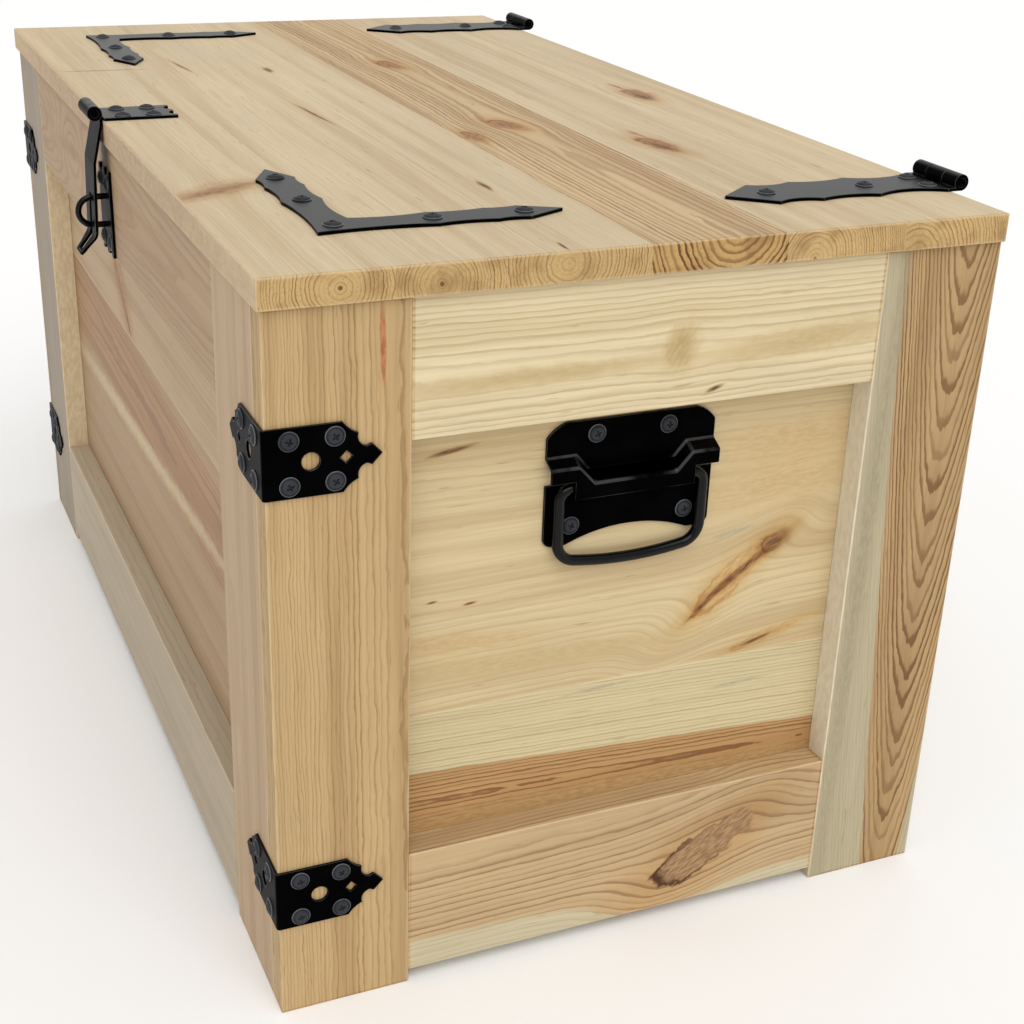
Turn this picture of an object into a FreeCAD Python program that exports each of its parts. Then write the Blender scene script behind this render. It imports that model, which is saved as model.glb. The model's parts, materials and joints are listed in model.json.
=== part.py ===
import FreeCAD, Part
import math
import os

# Pine storage chest with a hinged lid and black iron fittings.
# Millimetres. +X runs along the length, -Y is the front with the hasp, +Z is up, the floor is Z = 0.
# Everything is modelled about the middle of the case and moved once, at the end, so that the
# origin lies under the middle of the whole object.

V = FreeCAD.Vector

# Case
body_length = 890.0
body_width = 500.0
body_height = 488.0

# Frame boards on the outside of the walls
frame_thickness = 20.0
end_stile_width = 89.0
front_stile_width = 91.0
top_rail_height = 88.0
bottom_rail_height = 95.0
foot_height = 10.0
frame_edge_round = 0.8

# Wall planks behind the frame: the height of the lower joint and the width of the upper plank
plank_thickness = 18.0
plank_edge_round = 0.5
long_wall_lower_joint = 100.0
long_wall_upper_plank = 178.0
end_wall_lower_joint = 198.0
end_wall_upper_plank = 84.0

# Floor inside the case
cleat_height = 20.0
cleat_depth = 20.0
floor_thickness = 16.0
floor_board_count = 4
floor_gap = 0.5

# Lid: the widths of the edge-glued boards from the front, the last one takes what is left
lid_thickness = 19.0
lid_end_overhang = 5.0
lid_front_overhang = 3.0
lid_back_inset = 1.0
lid_gap = 0.4
lid_edge_round = 1.0
lid_board_widths = (80.0, 67.0, 94.0, 94.0, 87.0)
batten_width = 60.0
batten_thickness = 18.0
batten_end_room = 10.0
batten_inset = 80.0

# Screws: wafer heads with a cross recess
shank_radius = 2.0
shank_length = 15.0
screw_head_radius = 6.2
screw_flange = 0.9
screw_dome_radius = 4.9
screw_dome_height = 2.5
recess_width = 1.1
recess_length = 4.6
recess_depth = 1.3
pilot_clearance = 0.05
pilot_extra_depth = 0.5
plate_hole_clearance = 0.2

# Corner brackets on the two front corners
bracket_thickness = 2.0
bracket_height = 44.0
bracket_inset = 92.0
bracket_straight = 46.5
bracket_step = (56.0, 14.3)
bracket_neck = (61.0, 5.4)
bracket_barb = (64.0, 6.8)
bracket_tip = 70.5
bracket_shoulder_dent = 1.0
bracket_scoop_dent = 2.4
bracket_bend_radius = 0.5
bracket_screw_first = 14.0
bracket_screw_second = 41.5
bracket_screw_rise = 14.0
bracket_hole_radius = 5.5
bracket_hole_place = 27.0
bracket_diamond = 3.9
bracket_diamond_place = 48.5

# Flat iron sheet of the lid plates, hinges and hasp
sheet = 2.5

# How far cutting tools and joined tabs run past the faces they meet
run_past = 1.0

# L-shaped plates at the lid's front corners, measured from the plate's outer corner
corner_plate_width = 27.0
corner_plate_cusps = (77.0, 115.5, 137.5)
corner_plate_dents = (3.0, 2.2, 1.6)
corner_plate_tip = 164.5
corner_plate_end_inset = 73.0
corner_plate_front_inset = 57.5
corner_plate_screws = (77.0, 138.0)

# Hinge and hasp barrels
pin_radius = 2.9
pin_clearance = 0.06
knuckle_wall = 2.7
pin_head = 0.9
knuckle_gap = 0.3

# Strap hinges, measured along the strap from the lid's back edge
hinge_end_inset = 85.0
hinge_side_knuckle = 15.0
hinge_middle_knuckle = 18.0
strap_tip = 164.0
strap_cusps = ((4.0, 25.0), (57.5, 23.5), (102.0, 23.0), (135.0, 23.0))
strap_dents = (7.5, 4.0, 4.5)
strap_single_screws = (55.5, 132.5)
strap_pair_screw = 12.0
strap_pair_spread = 12.0
strap_barrel_gap = 0.6
leaf_width = 46.0
leaf_drop = 62.0
leaf_top_gap = 1.5
leaf_screw_spread = 14.0
leaf_screw_drops = (16.0, 46.0)
leaf_corner_round = 5.0

# Hasp: leaf on the lid, slotted arm that hangs in front of the case
hasp_leaf_width = 40.0
hasp_leaf_reach = 57.0
hasp_side_knuckle = 10.0
hasp_middle_knuckle = 17.0
hasp_lid_gap = 0.34
hasp_screw_rows = (16.0, 39.5)
hasp_screw_spread = 13.0
hasp_leaf_start = 0.6
notch_edge = 4.0
notch_middle = 3.0
notch_dent = 5.0
arm_width = 36.0
arm_bend_radius = 9.0
arm_tip_round = 8.0
arm_tail_width = 21.0
arm_tail_start = 91.0
arm_shoulder_drop = 8.5
# Middle line of the arm below the barrel: reach out from the case's front, drop below the pin
arm_bow = (11.5, 38.0)
arm_elbow = (13.5, 95.5)
arm_tip = (25.0, 110.0)
arm_slot_width = 9.0
arm_slot_clearance = 1.66
arm_slot_bridge = 2.4

# Staple and its plate on the front top rail
staple_drop = 53.0
staple_bar_radius = 2.4
staple_spread = 22.0
staple_reach = 26.0
staple_tail = 12.0
staple_clearance = 0.05
staple_plate_width = 40.0
staple_plate_height = 68.0
staple_plate_screw_x = 13.0
staple_plate_screw_z = 23.0

# Chest handles on the end walls, measured from the middle of the plate's top edge
handle_sheet = 2.0
handle_side_shift = -5.0
handle_drop = 9.0
handle_half_width = 60.0
handle_height = 85.0
handle_chamfer = (14.0, 10.0)
handle_chamfer_bulge = 1.5
handle_arch_half = 44.0
handle_arch_rise = 9.0
handle_foot_round = 6.0
handle_top_screw = (25.5, 9.7)
handle_low_screw = (41.2, 71.3)
band_crease_drop = 22.5
band_middle_drop = 12.0
band_flank_drop = 5.0
band_inner_half = 29.0
band_outer_half = 40.0
band_end_height = 10.0
band_lip = 50.0
band_opening_low = 42.0
ear_half_spread = 43.0
ear_thickness = 2.0
ear_top_margin = 1.0
bail_bar_radius = 3.7
bail_pin_radius = 3.0
bail_half_spread = 51.5
bail_axis_drop = 43.7
bail_drop = 54.0
bail_corner_radius = 14.0
bail_sweep_radius = 250.0
bail_top_radius = 8.0
bail_pin_reach = 7.0
bail_plate_clearance = 0.3
bail_pin_clearance = 0.06
bail_band_clearance = 0.4

# Places worked out from the sizes above
half_length = body_length / 2
half_width = body_width / 2
inner_half_length = half_length - frame_thickness
inner_half_width = half_width - frame_thickness
wall_half_length = inner_half_length - plank_thickness
wall_half_width = inner_half_width - plank_thickness
lid_half_length = half_length + lid_end_overhang
lid_front = -half_width - lid_front_overhang
lid_back = half_width - lid_back_inset
lid_bottom = body_height + lid_gap
lid_top = lid_bottom + lid_thickness
knuckle_bore = pin_radius + pin_clearance
knuckle_radius = knuckle_bore + knuckle_wall
barrel_z = lid_top + knuckle_radius
hinge_y = half_width + knuckle_radius
hasp_y = lid_front - hasp_lid_gap - knuckle_radius
staple_height = body_height - staple_drop
arm_slot_top = staple_height + staple_spread / 2 + staple_bar_radius + arm_slot_clearance
handle_top = body_height - top_rail_height - handle_drop
bail_axis_z = handle_top - bail_axis_drop
bail_axis_out = handle_sheet + bail_plate_clearance + bail_bar_radius
bail_axis_x = inner_half_length + bail_axis_out
arm_reach = arm_tip[0] + sheet / 2 * (arm_tip[1] - arm_elbow[1]) / math.dist(arm_elbow, arm_tip)
front_reach = half_width + max(staple_reach, arm_reach)
back_reach = hinge_y + knuckle_radius
middle_shift = V(0, (front_reach - back_reach) / 2, 0)


def block(x, y, z, rounding=0.0):
    """A board between two limits on each axis, with all its edges eased."""
    shape = Part.makeBox(x[1] - x[0], y[1] - y[0], z[1] - z[0], V(x[0], y[0], z[0]))
    if rounding:
        shape = shape.makeFillet(rounding, shape.Edges)
    return shape


def cylinder(radius, start, end):
    """A round bar from one point to another."""
    return Part.makeCylinder(radius, (end - start).Length, start, end - start)


def joined(shapes):
    """One solid from overlapping shapes, without leftover seams."""
    return shapes[0].fuse(shapes[1:]).removeSplitter()


def outline_face(points, dents, place):
    """A flat face through the points; a side with a dent is an arc that cuts into the face."""
    count = len(points)
    turns = [points[i][0] * points[(i + 1) % count][1] - points[(i + 1) % count][0] * points[i][1]
             for i in range(count)]
    inward = 1.0 if sum(turns) > 0 else -1.0
    edges = []
    for i in range(count):
        a = points[i]
        b = points[(i + 1) % count]
        dent = dents[i]
        if dent == 0:
            edges.append(Part.makeLine(place(*a), place(*b)))
            continue
        length = math.dist(a, b)
        normal = (-(b[1] - a[1]) / length * inward, (b[0] - a[0]) / length * inward)
        crown = ((a[0] + b[0]) / 2 + normal[0] * dent, (a[1] + b[1]) / 2 + normal[1] * dent)
        edges.append(Part.Arc(place(*a), place(*crown), place(*b)).toShape())
    return Part.Face(Part.Wire(edges))


def mirrored_outline(points, dents):
    """Closes a half outline of (along, aside) points by its mirror image about aside = 0."""
    other_points = [(along, -aside) for along, aside in reversed(points) if aside != 0]
    across = [] if points[-1][1] == 0 else [0]
    return points + other_points, dents + across + list(reversed(dents)) + [0]


def rounded_corner(radius):
    """The dent of a side that rounds off a square corner: it bulges outwards."""
    return -radius * (1 - math.sqrt(0.5))


def strip_side(points, radius, offset):
    """One long side of a bent strip: straight runs joined by arcs, offset from the middle line."""
    def unit(a, b):
        length = math.dist(a, b)
        return ((b[0] - a[0]) / length, (b[1] - a[1]) / length)

    def beside(point, direction, distance):
        return (point[0] - direction[1] * distance, point[1] + direction[0] * distance)

    pieces = []
    last = beside(points[0], unit(points[0], points[1]), offset)
    for before, corner, after in zip(points, points[1:], points[2:]):
        d1 = unit(before, corner)
        d2 = unit(corner, after)
        turn = math.atan2(d1[0] * d2[1] - d1[1] * d2[0], d1[0] * d2[0] + d1[1] * d2[1])
        side = math.copysign(1.0, turn)
        run = radius * math.tan(abs(turn) / 2)
        enter = (corner[0] - d1[0] * run, corner[1] - d1[1] * run)
        leave = (corner[0] + d2[0] * run, corner[1] + d2[1] * run)
        centre = beside(enter, d1, side * radius)
        towards = unit(centre, corner)
        reach = radius - side * offset
        crown = (centre[0] + towards[0] * reach, centre[1] + towards[1] * reach)
        arc_start = beside(enter, d1, offset)
        arc_end = beside(leave, d2, offset)
        pieces.append((last, arc_start))
        pieces.append((arc_start, crown, arc_end))
        last = arc_end
    pieces.append((last, beside(points[-1], unit(points[-2], points[-1]), offset)))
    return pieces


def bent_strip(points, radius, thickness, place):
    """The side view of a bent sheet strip, as a flat face."""
    near = strip_side(points, radius, thickness / 2)
    far = strip_side(points, radius, -thickness / 2)
    ends = [(near[-1][-1], far[-1][-1]), (far[0][0], near[0][0])]
    edges = []
    for piece in near + [ends[0]] + [tuple(reversed(p)) for p in reversed(far)] + [ends[1]]:
        if len(piece) == 2:
            edges.append(Part.makeLine(place(*piece[0]), place(*piece[1])))
        else:
            edges.append(Part.Arc(*[place(*p) for p in piece]).toShape())
    return Part.Face(Part.Wire(edges))


# Screws: a seat is the point under the head and the direction that the head faces
def screw_at(seat):
    point, outward = seat
    profile = [Part.makeLine(V(0, 0, -shank_length), V(shank_radius, 0, -shank_length + shank_radius)),
               Part.makeLine(V(shank_radius, 0, -shank_length + shank_radius), V(shank_radius, 0, 0)),
               Part.makeLine(V(shank_radius, 0, 0), V(screw_head_radius, 0, 0)),
               Part.makeLine(V(screw_head_radius, 0, 0), V(screw_head_radius, 0, screw_flange)),
               Part.makeLine(V(screw_head_radius, 0, screw_flange), V(screw_dome_radius, 0, screw_flange))]
    rise = screw_dome_height - screw_flange
    dome_radius = (screw_dome_radius ** 2 + rise ** 2) / (2 * rise)
    half = math.asin(screw_dome_radius / dome_radius) / 2
    crown = V(dome_radius * math.sin(half), 0, screw_dome_height - dome_radius * (1 - math.cos(half)))
    top = V(0, 0, screw_dome_height)
    profile.append(Part.Arc(V(screw_dome_radius, 0, screw_flange), crown, top).toShape())
    profile.append(Part.makeLine(top, V(0, 0, -shank_length)))
    body = Part.Face(Part.Wire(profile)).revolve(V(0, 0, 0), V(0, 0, 1), 360)
    deep = (screw_dome_height - recess_depth, screw_dome_height)
    wide = (-recess_width / 2, recess_width / 2)
    long = (-recess_length / 2, recess_length / 2)
    body = body.cut([block(long, wide, deep), block(wide, long, deep)])
    body.Placement = FreeCAD.Placement(point, FreeCAD.Rotation(V(0, 0, 1), outward))
    return body.Solids[0]


def drilled(shape, seats, clearance, depth):
    """Holes for the screws that reach this shape."""
    tools = []
    for point, outward in seats:
        tool = cylinder(shank_radius + clearance, point + outward * run_past, point - outward * depth)
        if tool.BoundBox.intersect(shape.BoundBox):
            tools.append(tool)
    return shape.cut(tools).Solids[0] if tools else shape


def piloted(shape, seats):
    return drilled(shape, seats, pilot_clearance, shank_length + pilot_extra_depth)


def plate_drilled(shape, seats):
    return drilled(shape, seats, plate_hole_clearance, shank_length)


# Corner brackets
def bracket_leaf(place, outward, height_middle):
    """One leaf of a bracket: a plate with a spear tip, a round hole and a diamond hole."""
    half = bracket_height / 2
    points = [(bracket_bend_radius, half), (bracket_straight, half), bracket_step, bracket_neck,
              bracket_barb, (bracket_tip, 0)]
    points, dents = mirrored_outline(points, [0, bracket_shoulder_dent, bracket_scoop_dent, 0, 0])

    def on_face(along, up):
        return place(along, height_middle + up)

    leaf = outline_face(points, dents, on_face).extrude(outward * bracket_thickness)
    d = bracket_diamond
    diamond = [(bracket_diamond_place + a, b) for a, b in ((d, 0), (0, d), (-d, 0), (0, -d))]
    hole_middle = on_face(bracket_hole_place, 0)
    hole = cylinder(bracket_hole_radius, hole_middle - outward * run_past,
                    hole_middle + outward * (bracket_thickness + run_past))
    cut = outline_face(diamond, [0] * 4, on_face).extrude(outward * bracket_thickness)
    return leaf.cut([hole, cut])


def bracket_faces(side):
    """The end face and the front face at one front corner, from the corner inwards."""
    def on_end(along, up):
        return V(side * half_length, -half_width + along, up)

    def on_front(along, up):
        return V(side * (half_length - along), -half_width, up)

    return (on_end, V(side, 0, 0)), (on_front, V(0, -1, 0))


def bracket_seats(side, height):
    return [(place(along, height + rise) + outward * bracket_thickness, outward)
            for place, outward in bracket_faces(side)
            for along in (bracket_screw_first, bracket_screw_second)
            for rise in (-bracket_screw_rise, bracket_screw_rise)]


def corner_bracket(side, height):
    leaves = [bracket_leaf(place, outward, height) for place, outward in bracket_faces(side)]
    corner = V(side * (half_length - bracket_bend_radius), -half_width + bracket_bend_radius,
               height - bracket_height / 2)
    top = corner + V(0, 0, bracket_height)
    bend = cylinder(bracket_bend_radius + bracket_thickness, corner, top)
    bend = bend.cut(cylinder(bracket_bend_radius, corner, top))
    reach = bracket_bend_radius + bracket_thickness
    x = sorted((corner.x, corner.x + side * reach))
    bend = bend.common(block(x, (corner.y - reach, corner.y), (corner.z, top.z)))
    return plate_drilled(joined([bend] + leaves), bracket_seats(side, height))


# L-shaped plates on the lid
def corner_plate_place(side):
    """Lid-top points from the plate's outer corner: along the length inwards, then to the back."""
    x = side * (lid_half_length - corner_plate_end_inset)
    y = lid_front + corner_plate_front_inset
    return lambda inwards, back: V(x - side * inwards, y + back, lid_top)


def corner_plate_seats(side):
    place = corner_plate_place(side)
    middle = corner_plate_width / 2
    spots = [(middle, middle)]
    for along in corner_plate_screws:
        spots += [(along, middle), (middle, along)]
    return [(place(*spot) + V(0, 0, sheet), V(0, 0, 1)) for spot in spots]


def corner_plate(side):
    width = corner_plate_width
    outer = [(along, 0) for along in corner_plate_cusps]
    inner = [(along, width) for along in reversed(corner_plate_cusps)]
    arm = outer + [(corner_plate_tip, width / 2)] + inner
    dents = list(corner_plate_dents)
    arm_dents = dents[1:] + [0, 0] + list(reversed(dents[1:])) + [dents[0]]
    points = [(0, 0)] + arm + [(width, width)] + [(b, a) for a, b in reversed(arm)]
    sides = [dents[0]] + arm_dents + list(reversed(arm_dents)) + [dents[0]]
    face = outline_face(points, sides, corner_plate_place(side))
    return plate_drilled(face.extrude(V(0, 0, sheet)), corner_plate_seats(side))


# Barrels shared by the hinges and the hasp
def knuckle(middle_x, span, y):
    start = V(middle_x + span[0], y, barrel_z)
    end = V(middle_x + span[1], y, barrel_z)
    return cylinder(knuckle_radius, start, end)


def bored(shape, middle_x, half_barrel, y):
    """Clears the pin's bore right through the barrel."""
    reach = V(half_barrel + run_past, 0, 0)
    middle = V(middle_x, y, barrel_z)
    return shape.cut(cylinder(knuckle_bore, middle - reach, middle + reach))


def barrel_spans(side_length, middle_length):
    """The left, middle and right knuckle of a barrel, about its middle."""
    middle = (-middle_length / 2, middle_length / 2)
    outer = middle[1] + knuckle_gap
    return (-outer - side_length, -outer), middle, (outer, outer + side_length)


def barrel_pin(middle_x, half_barrel, y):
    """A pin with a riveted head at each end."""
    reach = V(half_barrel + pin_head, 0, 0)
    middle = V(middle_x, y, barrel_z)
    pin = cylinder(pin_radius, middle - reach, middle + reach)
    return pin.makeChamfer(pin_head / 2, [edge for edge in pin.Edges if edge.Closed])


# Strap hinges
hinge_spans = barrel_spans(hinge_side_knuckle, hinge_middle_knuckle)
hinge_half_barrel = hinge_spans[2][1]


def hinge_x(side):
    return side * (lid_half_length - hinge_end_inset)


def strap_seats(side):
    spots = [(along, 0) for along in strap_single_screws]
    spots += [(strap_pair_screw, -strap_pair_spread), (strap_pair_screw, strap_pair_spread)]
    return [(V(hinge_x(side) + aside, lid_back - along, lid_top + sheet), V(0, 0, 1))
            for along, aside in spots]


def hinge_strap(side):
    """The long leaf on the lid, with the two outer knuckles."""
    x = hinge_x(side)
    root = (lid_back - half_width + leaf_top_gap + strap_barrel_gap, hinge_half_barrel)
    points = [root] + list(strap_cusps) + [(strap_tip, 0)]
    points, dents = mirrored_outline(points, [0] + list(strap_dents) + [0])
    face = outline_face(points, dents, lambda along, aside: V(x + aside, lid_back - along, lid_top))
    pieces = [face.extrude(V(0, 0, sheet))]
    tab_y = (lid_back - root[0] - run_past, hinge_y)
    for span in (hinge_spans[0], hinge_spans[2]):
        pieces.append(knuckle(x, span, hinge_y))
        pieces.append(block((x + span[0], x + span[1]), tab_y, (lid_top, lid_top + sheet)))
    strap = bored(joined(pieces), x, hinge_half_barrel, hinge_y)
    return plate_drilled(strap, strap_seats(side))


def leaf_seats(side):
    return [(V(hinge_x(side) + aside, half_width + sheet, body_height - drop), V(0, 1, 0))
            for aside in (-leaf_screw_spread, leaf_screw_spread) for drop in leaf_screw_drops]


def hinge_leaf(side):
    """The short leaf on the back of the case, with the middle knuckle."""
    x = hinge_x(side)
    y = (half_width, half_width + sheet)
    plate_x = (x - leaf_width / 2, x + leaf_width / 2)
    plate = block(plate_x, y, (body_height - leaf_drop, lid_top - leaf_top_gap))
    low = [edge for edge in plate.Edges
           if edge.BoundBox.ZMax < body_height and edge.BoundBox.YLength > sheet / 2]
    plate = plate.makeFillet(leaf_corner_round, low)
    span = hinge_spans[1]
    tab = block((x + span[0], x + span[1]), y, (lid_top - leaf_top_gap - run_past, barrel_z))
    leaf = bored(joined([plate, tab, knuckle(x, span, hinge_y)]), x, hinge_half_barrel, hinge_y)
    return plate_drilled(leaf, leaf_seats(side))


# Hasp
hasp_spans = barrel_spans(hasp_side_knuckle, hasp_middle_knuckle)
hasp_half_barrel = hasp_spans[2][1]


def notched_end(half, along):
    """Half of a plate's end with two round notches, from the side to the middle."""
    return [(along, half), (along, half - notch_edge), (along, notch_middle)]


notched_dents = [0, notch_dent]


def hasp_seats():
    return [(V(aside, lid_front + back, lid_top + sheet), V(0, 0, 1))
            for aside in (-hasp_screw_spread, hasp_screw_spread) for back in hasp_screw_rows]


def hasp_leaf():
    """The leaf on the lid, with the middle knuckle."""
    half = hasp_leaf_width / 2
    points = [(hasp_leaf_start, half)] + notched_end(half, hasp_leaf_reach)
    points, dents = mirrored_outline(points, [0] + notched_dents)
    face = outline_face(points, dents, lambda back, aside: V(aside, lid_front + back, lid_top))
    span = hasp_spans[1]
    tab = block(span, (hasp_y, lid_front + hasp_leaf_start + run_past), (lid_top, lid_top + sheet))
    pieces = [face.extrude(V(0, 0, sheet)), tab, knuckle(0, span, hasp_y)]
    return plate_drilled(bored(joined(pieces), 0, hasp_half_barrel, hasp_y), hasp_seats())


def hasp_arm():
    """The hanging arm: outer knuckles, a bow clear of the lid, a slot over the staple, a finger tip."""
    def at(reach, drop):
        return V(-arm_width / 2, -half_width - reach, barrel_z - drop)

    hang = -hasp_y - half_width - knuckle_radius + sheet / 2
    line = [(hang, 0), (hang, arm_shoulder_drop), arm_bow, arm_elbow, arm_tip]
    strip = bent_strip(line, arm_bend_radius, sheet, at).extrude(V(arm_width, 0, 0))
    drop = arm_tip[1] + sheet
    half = arm_width / 2
    tail = arm_tail_width / 2
    points = [(0, half), (arm_tail_start, half), (drop - arm_tip_round, tail), (drop, tail - arm_tip_round)]
    points, dents = mirrored_outline(points, [0, 0, rounded_corner(arm_tip_round)])
    face = outline_face(points, dents, lambda low, aside: V(aside, -half_width, barrel_z - low))
    strip = strip.common(face.extrude(V(0, -arm_tip[0] - sheet, 0)))
    middle = hasp_middle_knuckle / 2 + knuckle_gap
    depth = (-half_width - arm_tip[0] - sheet, -half_width)
    window = block((-middle, middle), depth, (barrel_z - arm_shoulder_drop, barrel_z + run_past))
    slot_x = (-arm_slot_width / 2, arm_slot_width / 2)
    slot_end = arm_tip[1] - arm_slot_bridge
    slot = block(slot_x, depth, (barrel_z - slot_end, arm_slot_top))
    knuckles = [knuckle(0, span, hasp_y) for span in (hasp_spans[0], hasp_spans[2])]
    return bored(joined([strip.cut([window, slot])] + knuckles), 0, hasp_half_barrel, hasp_y)


def staple_plate_seats():
    return [(V(aside, -half_width - sheet, staple_height + rise), V(0, -1, 0))
            for aside in (-staple_plate_screw_x, staple_plate_screw_x)
            for rise in (-staple_plate_screw_z, staple_plate_screw_z)]


def staple():
    """A round bar bent to a loop, driven into the rail."""
    radius = staple_spread / 2
    out = -half_width - staple_reach + staple_bar_radius + radius
    tail = -half_width + staple_tail
    low = staple_height - radius
    high = staple_height + radius
    path = Part.Wire([Part.makeLine(V(0, tail, low), V(0, out, low)),
                      Part.Arc(V(0, out, low), V(0, out - radius, staple_height), V(0, out, high)).toShape(),
                      Part.makeLine(V(0, out, high), V(0, tail, high))])
    section = Part.Wire(Part.makeCircle(staple_bar_radius, V(0, tail, low), V(0, 1, 0)))
    return path.makePipeShell([section], True, True)


def staple_legs():
    """What the staple's legs take out of the plate and the rail."""
    radius = staple_bar_radius + staple_clearance
    return [cylinder(radius, V(0, -half_width - sheet - run_past, staple_height + rise),
                     V(0, -half_width + staple_tail + staple_clearance, staple_height + rise))
            for rise in (-staple_spread / 2, staple_spread / 2)]


def staple_plate():
    half = staple_plate_width / 2
    top = notched_end(half, staple_plate_height / 2)
    low = [(-up, aside) for up, aside in reversed(top)]
    points, dents = mirrored_outline(low + top, list(reversed(notched_dents)) + [0] + notched_dents)
    face = outline_face(points, dents, lambda up, aside: V(aside, -half_width, staple_height + up))
    plate = face.extrude(V(0, -sheet, 0)).cut(staple_legs())
    return plate_drilled(plate, staple_plate_seats())


# Chest handles
def handle_place(side):
    """Points on an end wall from the plate's top middle: aside, down and out of the wall."""
    return lambda aside, down, out: V(side * (inner_half_length + out), handle_side_shift + aside,
                                      handle_top - down)


def handle_seats(side):
    place = handle_place(side)
    return [(place(sign * aside, down, handle_sheet), V(side, 0, 0))
            for aside, down in (handle_top_screw, handle_low_screw) for sign in (-1, 1)]


def band_openings(side):
    """Where the band's two ends were pressed out, so that the flat plate is open behind them."""
    place = handle_place(side)
    openings = []
    for sign in (-1, 1):
        corners = [place(sign * ear_half_spread, band_crease_drop + handle_sheet, -run_past),
                   place(sign * (handle_half_width + run_past), band_opening_low, handle_sheet + run_past)]
        limits = [sorted((corners[0][axis], corners[1][axis])) for axis in range(3)]
        openings.append(block(*limits))
    return openings


def handle_plate(side):
    """A stamped plate: a band with a dropped middle pressed out of it, and two ears for the bail."""
    place = handle_place(side)
    outward = V(side, 0, 0)
    half = handle_half_width
    points = [(0, half - handle_chamfer[0]), (handle_chamfer[1], half),
              (handle_height - handle_foot_round, half), (handle_height, half - handle_foot_round),
              (handle_height, handle_arch_half)]
    points, dents = mirrored_outline(points, [-handle_chamfer_bulge, 0, rounded_corner(handle_foot_round), 0])
    dents[len(dents) // 2 - 1] = handle_arch_rise
    flat = outline_face(points, dents, lambda down, aside: place(aside, down, 0))
    pieces = [flat.extrude(outward * handle_sheet).cut(band_openings(side))]

    band_inside = bail_axis_out + bail_pin_radius + bail_band_clearance
    band_outside = band_inside + handle_sheet
    low = band_crease_drop + band_middle_drop
    crease = [(-half, band_crease_drop), (-band_outer_half, band_crease_drop), (-band_inner_half, low),
              (band_inner_half, low), (band_outer_half, band_crease_drop), (half, band_crease_drop)]
    start = handle_sheet / 2
    slope = place(0, band_flank_drop, band_outside) - place(0, 0, start)
    for a, b in zip(crease, crease[1:]):
        edge = Part.makeLine(place(a[0], a[1], start), place(b[0], b[1], start))
        pieces.append(edge.extrude(slope).extrude(V(0, 0, -handle_sheet)))

    end_low = band_crease_drop + band_flank_drop + band_end_height
    face = [(a, b + band_flank_drop) for a, b in crease]
    face += [(half, end_low), (ear_half_spread, end_low), (ear_half_spread, band_lip),
             (-ear_half_spread, band_lip), (-ear_half_spread, end_low), (-half, end_low)]
    front = outline_face(face, [0] * len(face), lambda aside, down: place(aside, down, band_inside))
    pieces.append(front.extrude(outward * handle_sheet))

    ear_top = band_crease_drop + band_flank_drop + ear_top_margin
    for sign in (-1, 1):
        corners = [place(sign * (ear_half_spread - ear_thickness), ear_top, start),
                   place(sign * ear_half_spread, band_lip, band_inside + start)]
        limits = [sorted((corners[0][axis], corners[1][axis])) for axis in range(3)]
        pieces.append(block(*limits))
    bore = bail_pin_radius + bail_pin_clearance
    reach = ear_half_spread + run_past
    axle_ends = [place(sign * reach, bail_axis_drop, bail_axis_out) for sign in (-1, 1)]
    axle = cylinder(bore, *axle_ends)
    return plate_drilled(joined(pieces).cut(axle), handle_seats(side))


def handle_bail(side):
    """A round bar bent to a U with a bowed grip, its ends turned in as pivots."""
    place = handle_place(side)

    def at(aside, below):
        return place(aside, bail_axis_drop + below, bail_axis_out)

    spread = bail_half_spread
    top = bail_top_radius
    lean = 1 - math.sqrt(0.5)
    bar_end = spread - top
    # The grip is an arc about a point high above; the corner arcs touch it and the straight legs
    grip_middle = bail_drop - bail_sweep_radius
    corner_aside = spread - bail_corner_radius
    corner_reach = bail_sweep_radius - bail_corner_radius
    corner_below = grip_middle + math.sqrt(corner_reach ** 2 - corner_aside ** 2)
    turn = math.atan2(corner_below - grip_middle, corner_aside)
    grip_end = (bail_sweep_radius * math.cos(turn), grip_middle + bail_sweep_radius * math.sin(turn))
    corner_crown = (corner_aside + bail_corner_radius * math.cos(turn / 2),
                    corner_below + bail_corner_radius * math.sin(turn / 2))

    def leg(sign):
        pivot_bend = Part.Arc(at(sign * bar_end, 0), at(sign * (spread - top * lean), top * lean),
                              at(sign * spread, top)).toShape()
        straight = Part.makeLine(at(sign * spread, top), at(sign * spread, corner_below))
        corner = Part.Arc(at(sign * spread, corner_below), at(sign * corner_crown[0], corner_crown[1]),
                          at(sign * grip_end[0], grip_end[1])).toShape()
        return [pivot_bend, straight, corner]

    grip = Part.Arc(at(-grip_end[0], grip_end[1]), at(0, bail_drop), at(*grip_end)).toShape()
    path = Part.Wire(leg(-1) + [grip] + list(reversed(leg(1))))
    section = Part.Wire(Part.makeCircle(bail_bar_radius, at(-bar_end, 0), V(0, 1, 0)))
    pieces = [path.makePipeShell([section], True, True)]
    inner = ear_half_spread - bail_pin_reach
    for sign in (-1, 1):
        pieces.append(cylinder(bail_pin_radius, at(sign * inner, 0), at(sign * (bar_end + run_past), 0)))
    return joined(pieces)


# Every screw seat, by the group of screws that it belongs to
sides = {"right": 1, "left": -1}
bracket_heights = {"upper": body_height - bracket_inset, "lower": bracket_inset}
seats = {"bracket_screws": [], "case_screws": staple_plate_seats(), "lid_screws": hasp_seats()}
for side in sides.values():
    for height in bracket_heights.values():
        seats["bracket_screws"] += bracket_seats(side, height)
    seats["case_screws"] += leaf_seats(side) + handle_seats(side)
    seats["lid_screws"] += corner_plate_seats(side) + strap_seats(side)
all_seats = [seat for group in seats.values() for seat in group]

parts = {}

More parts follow.
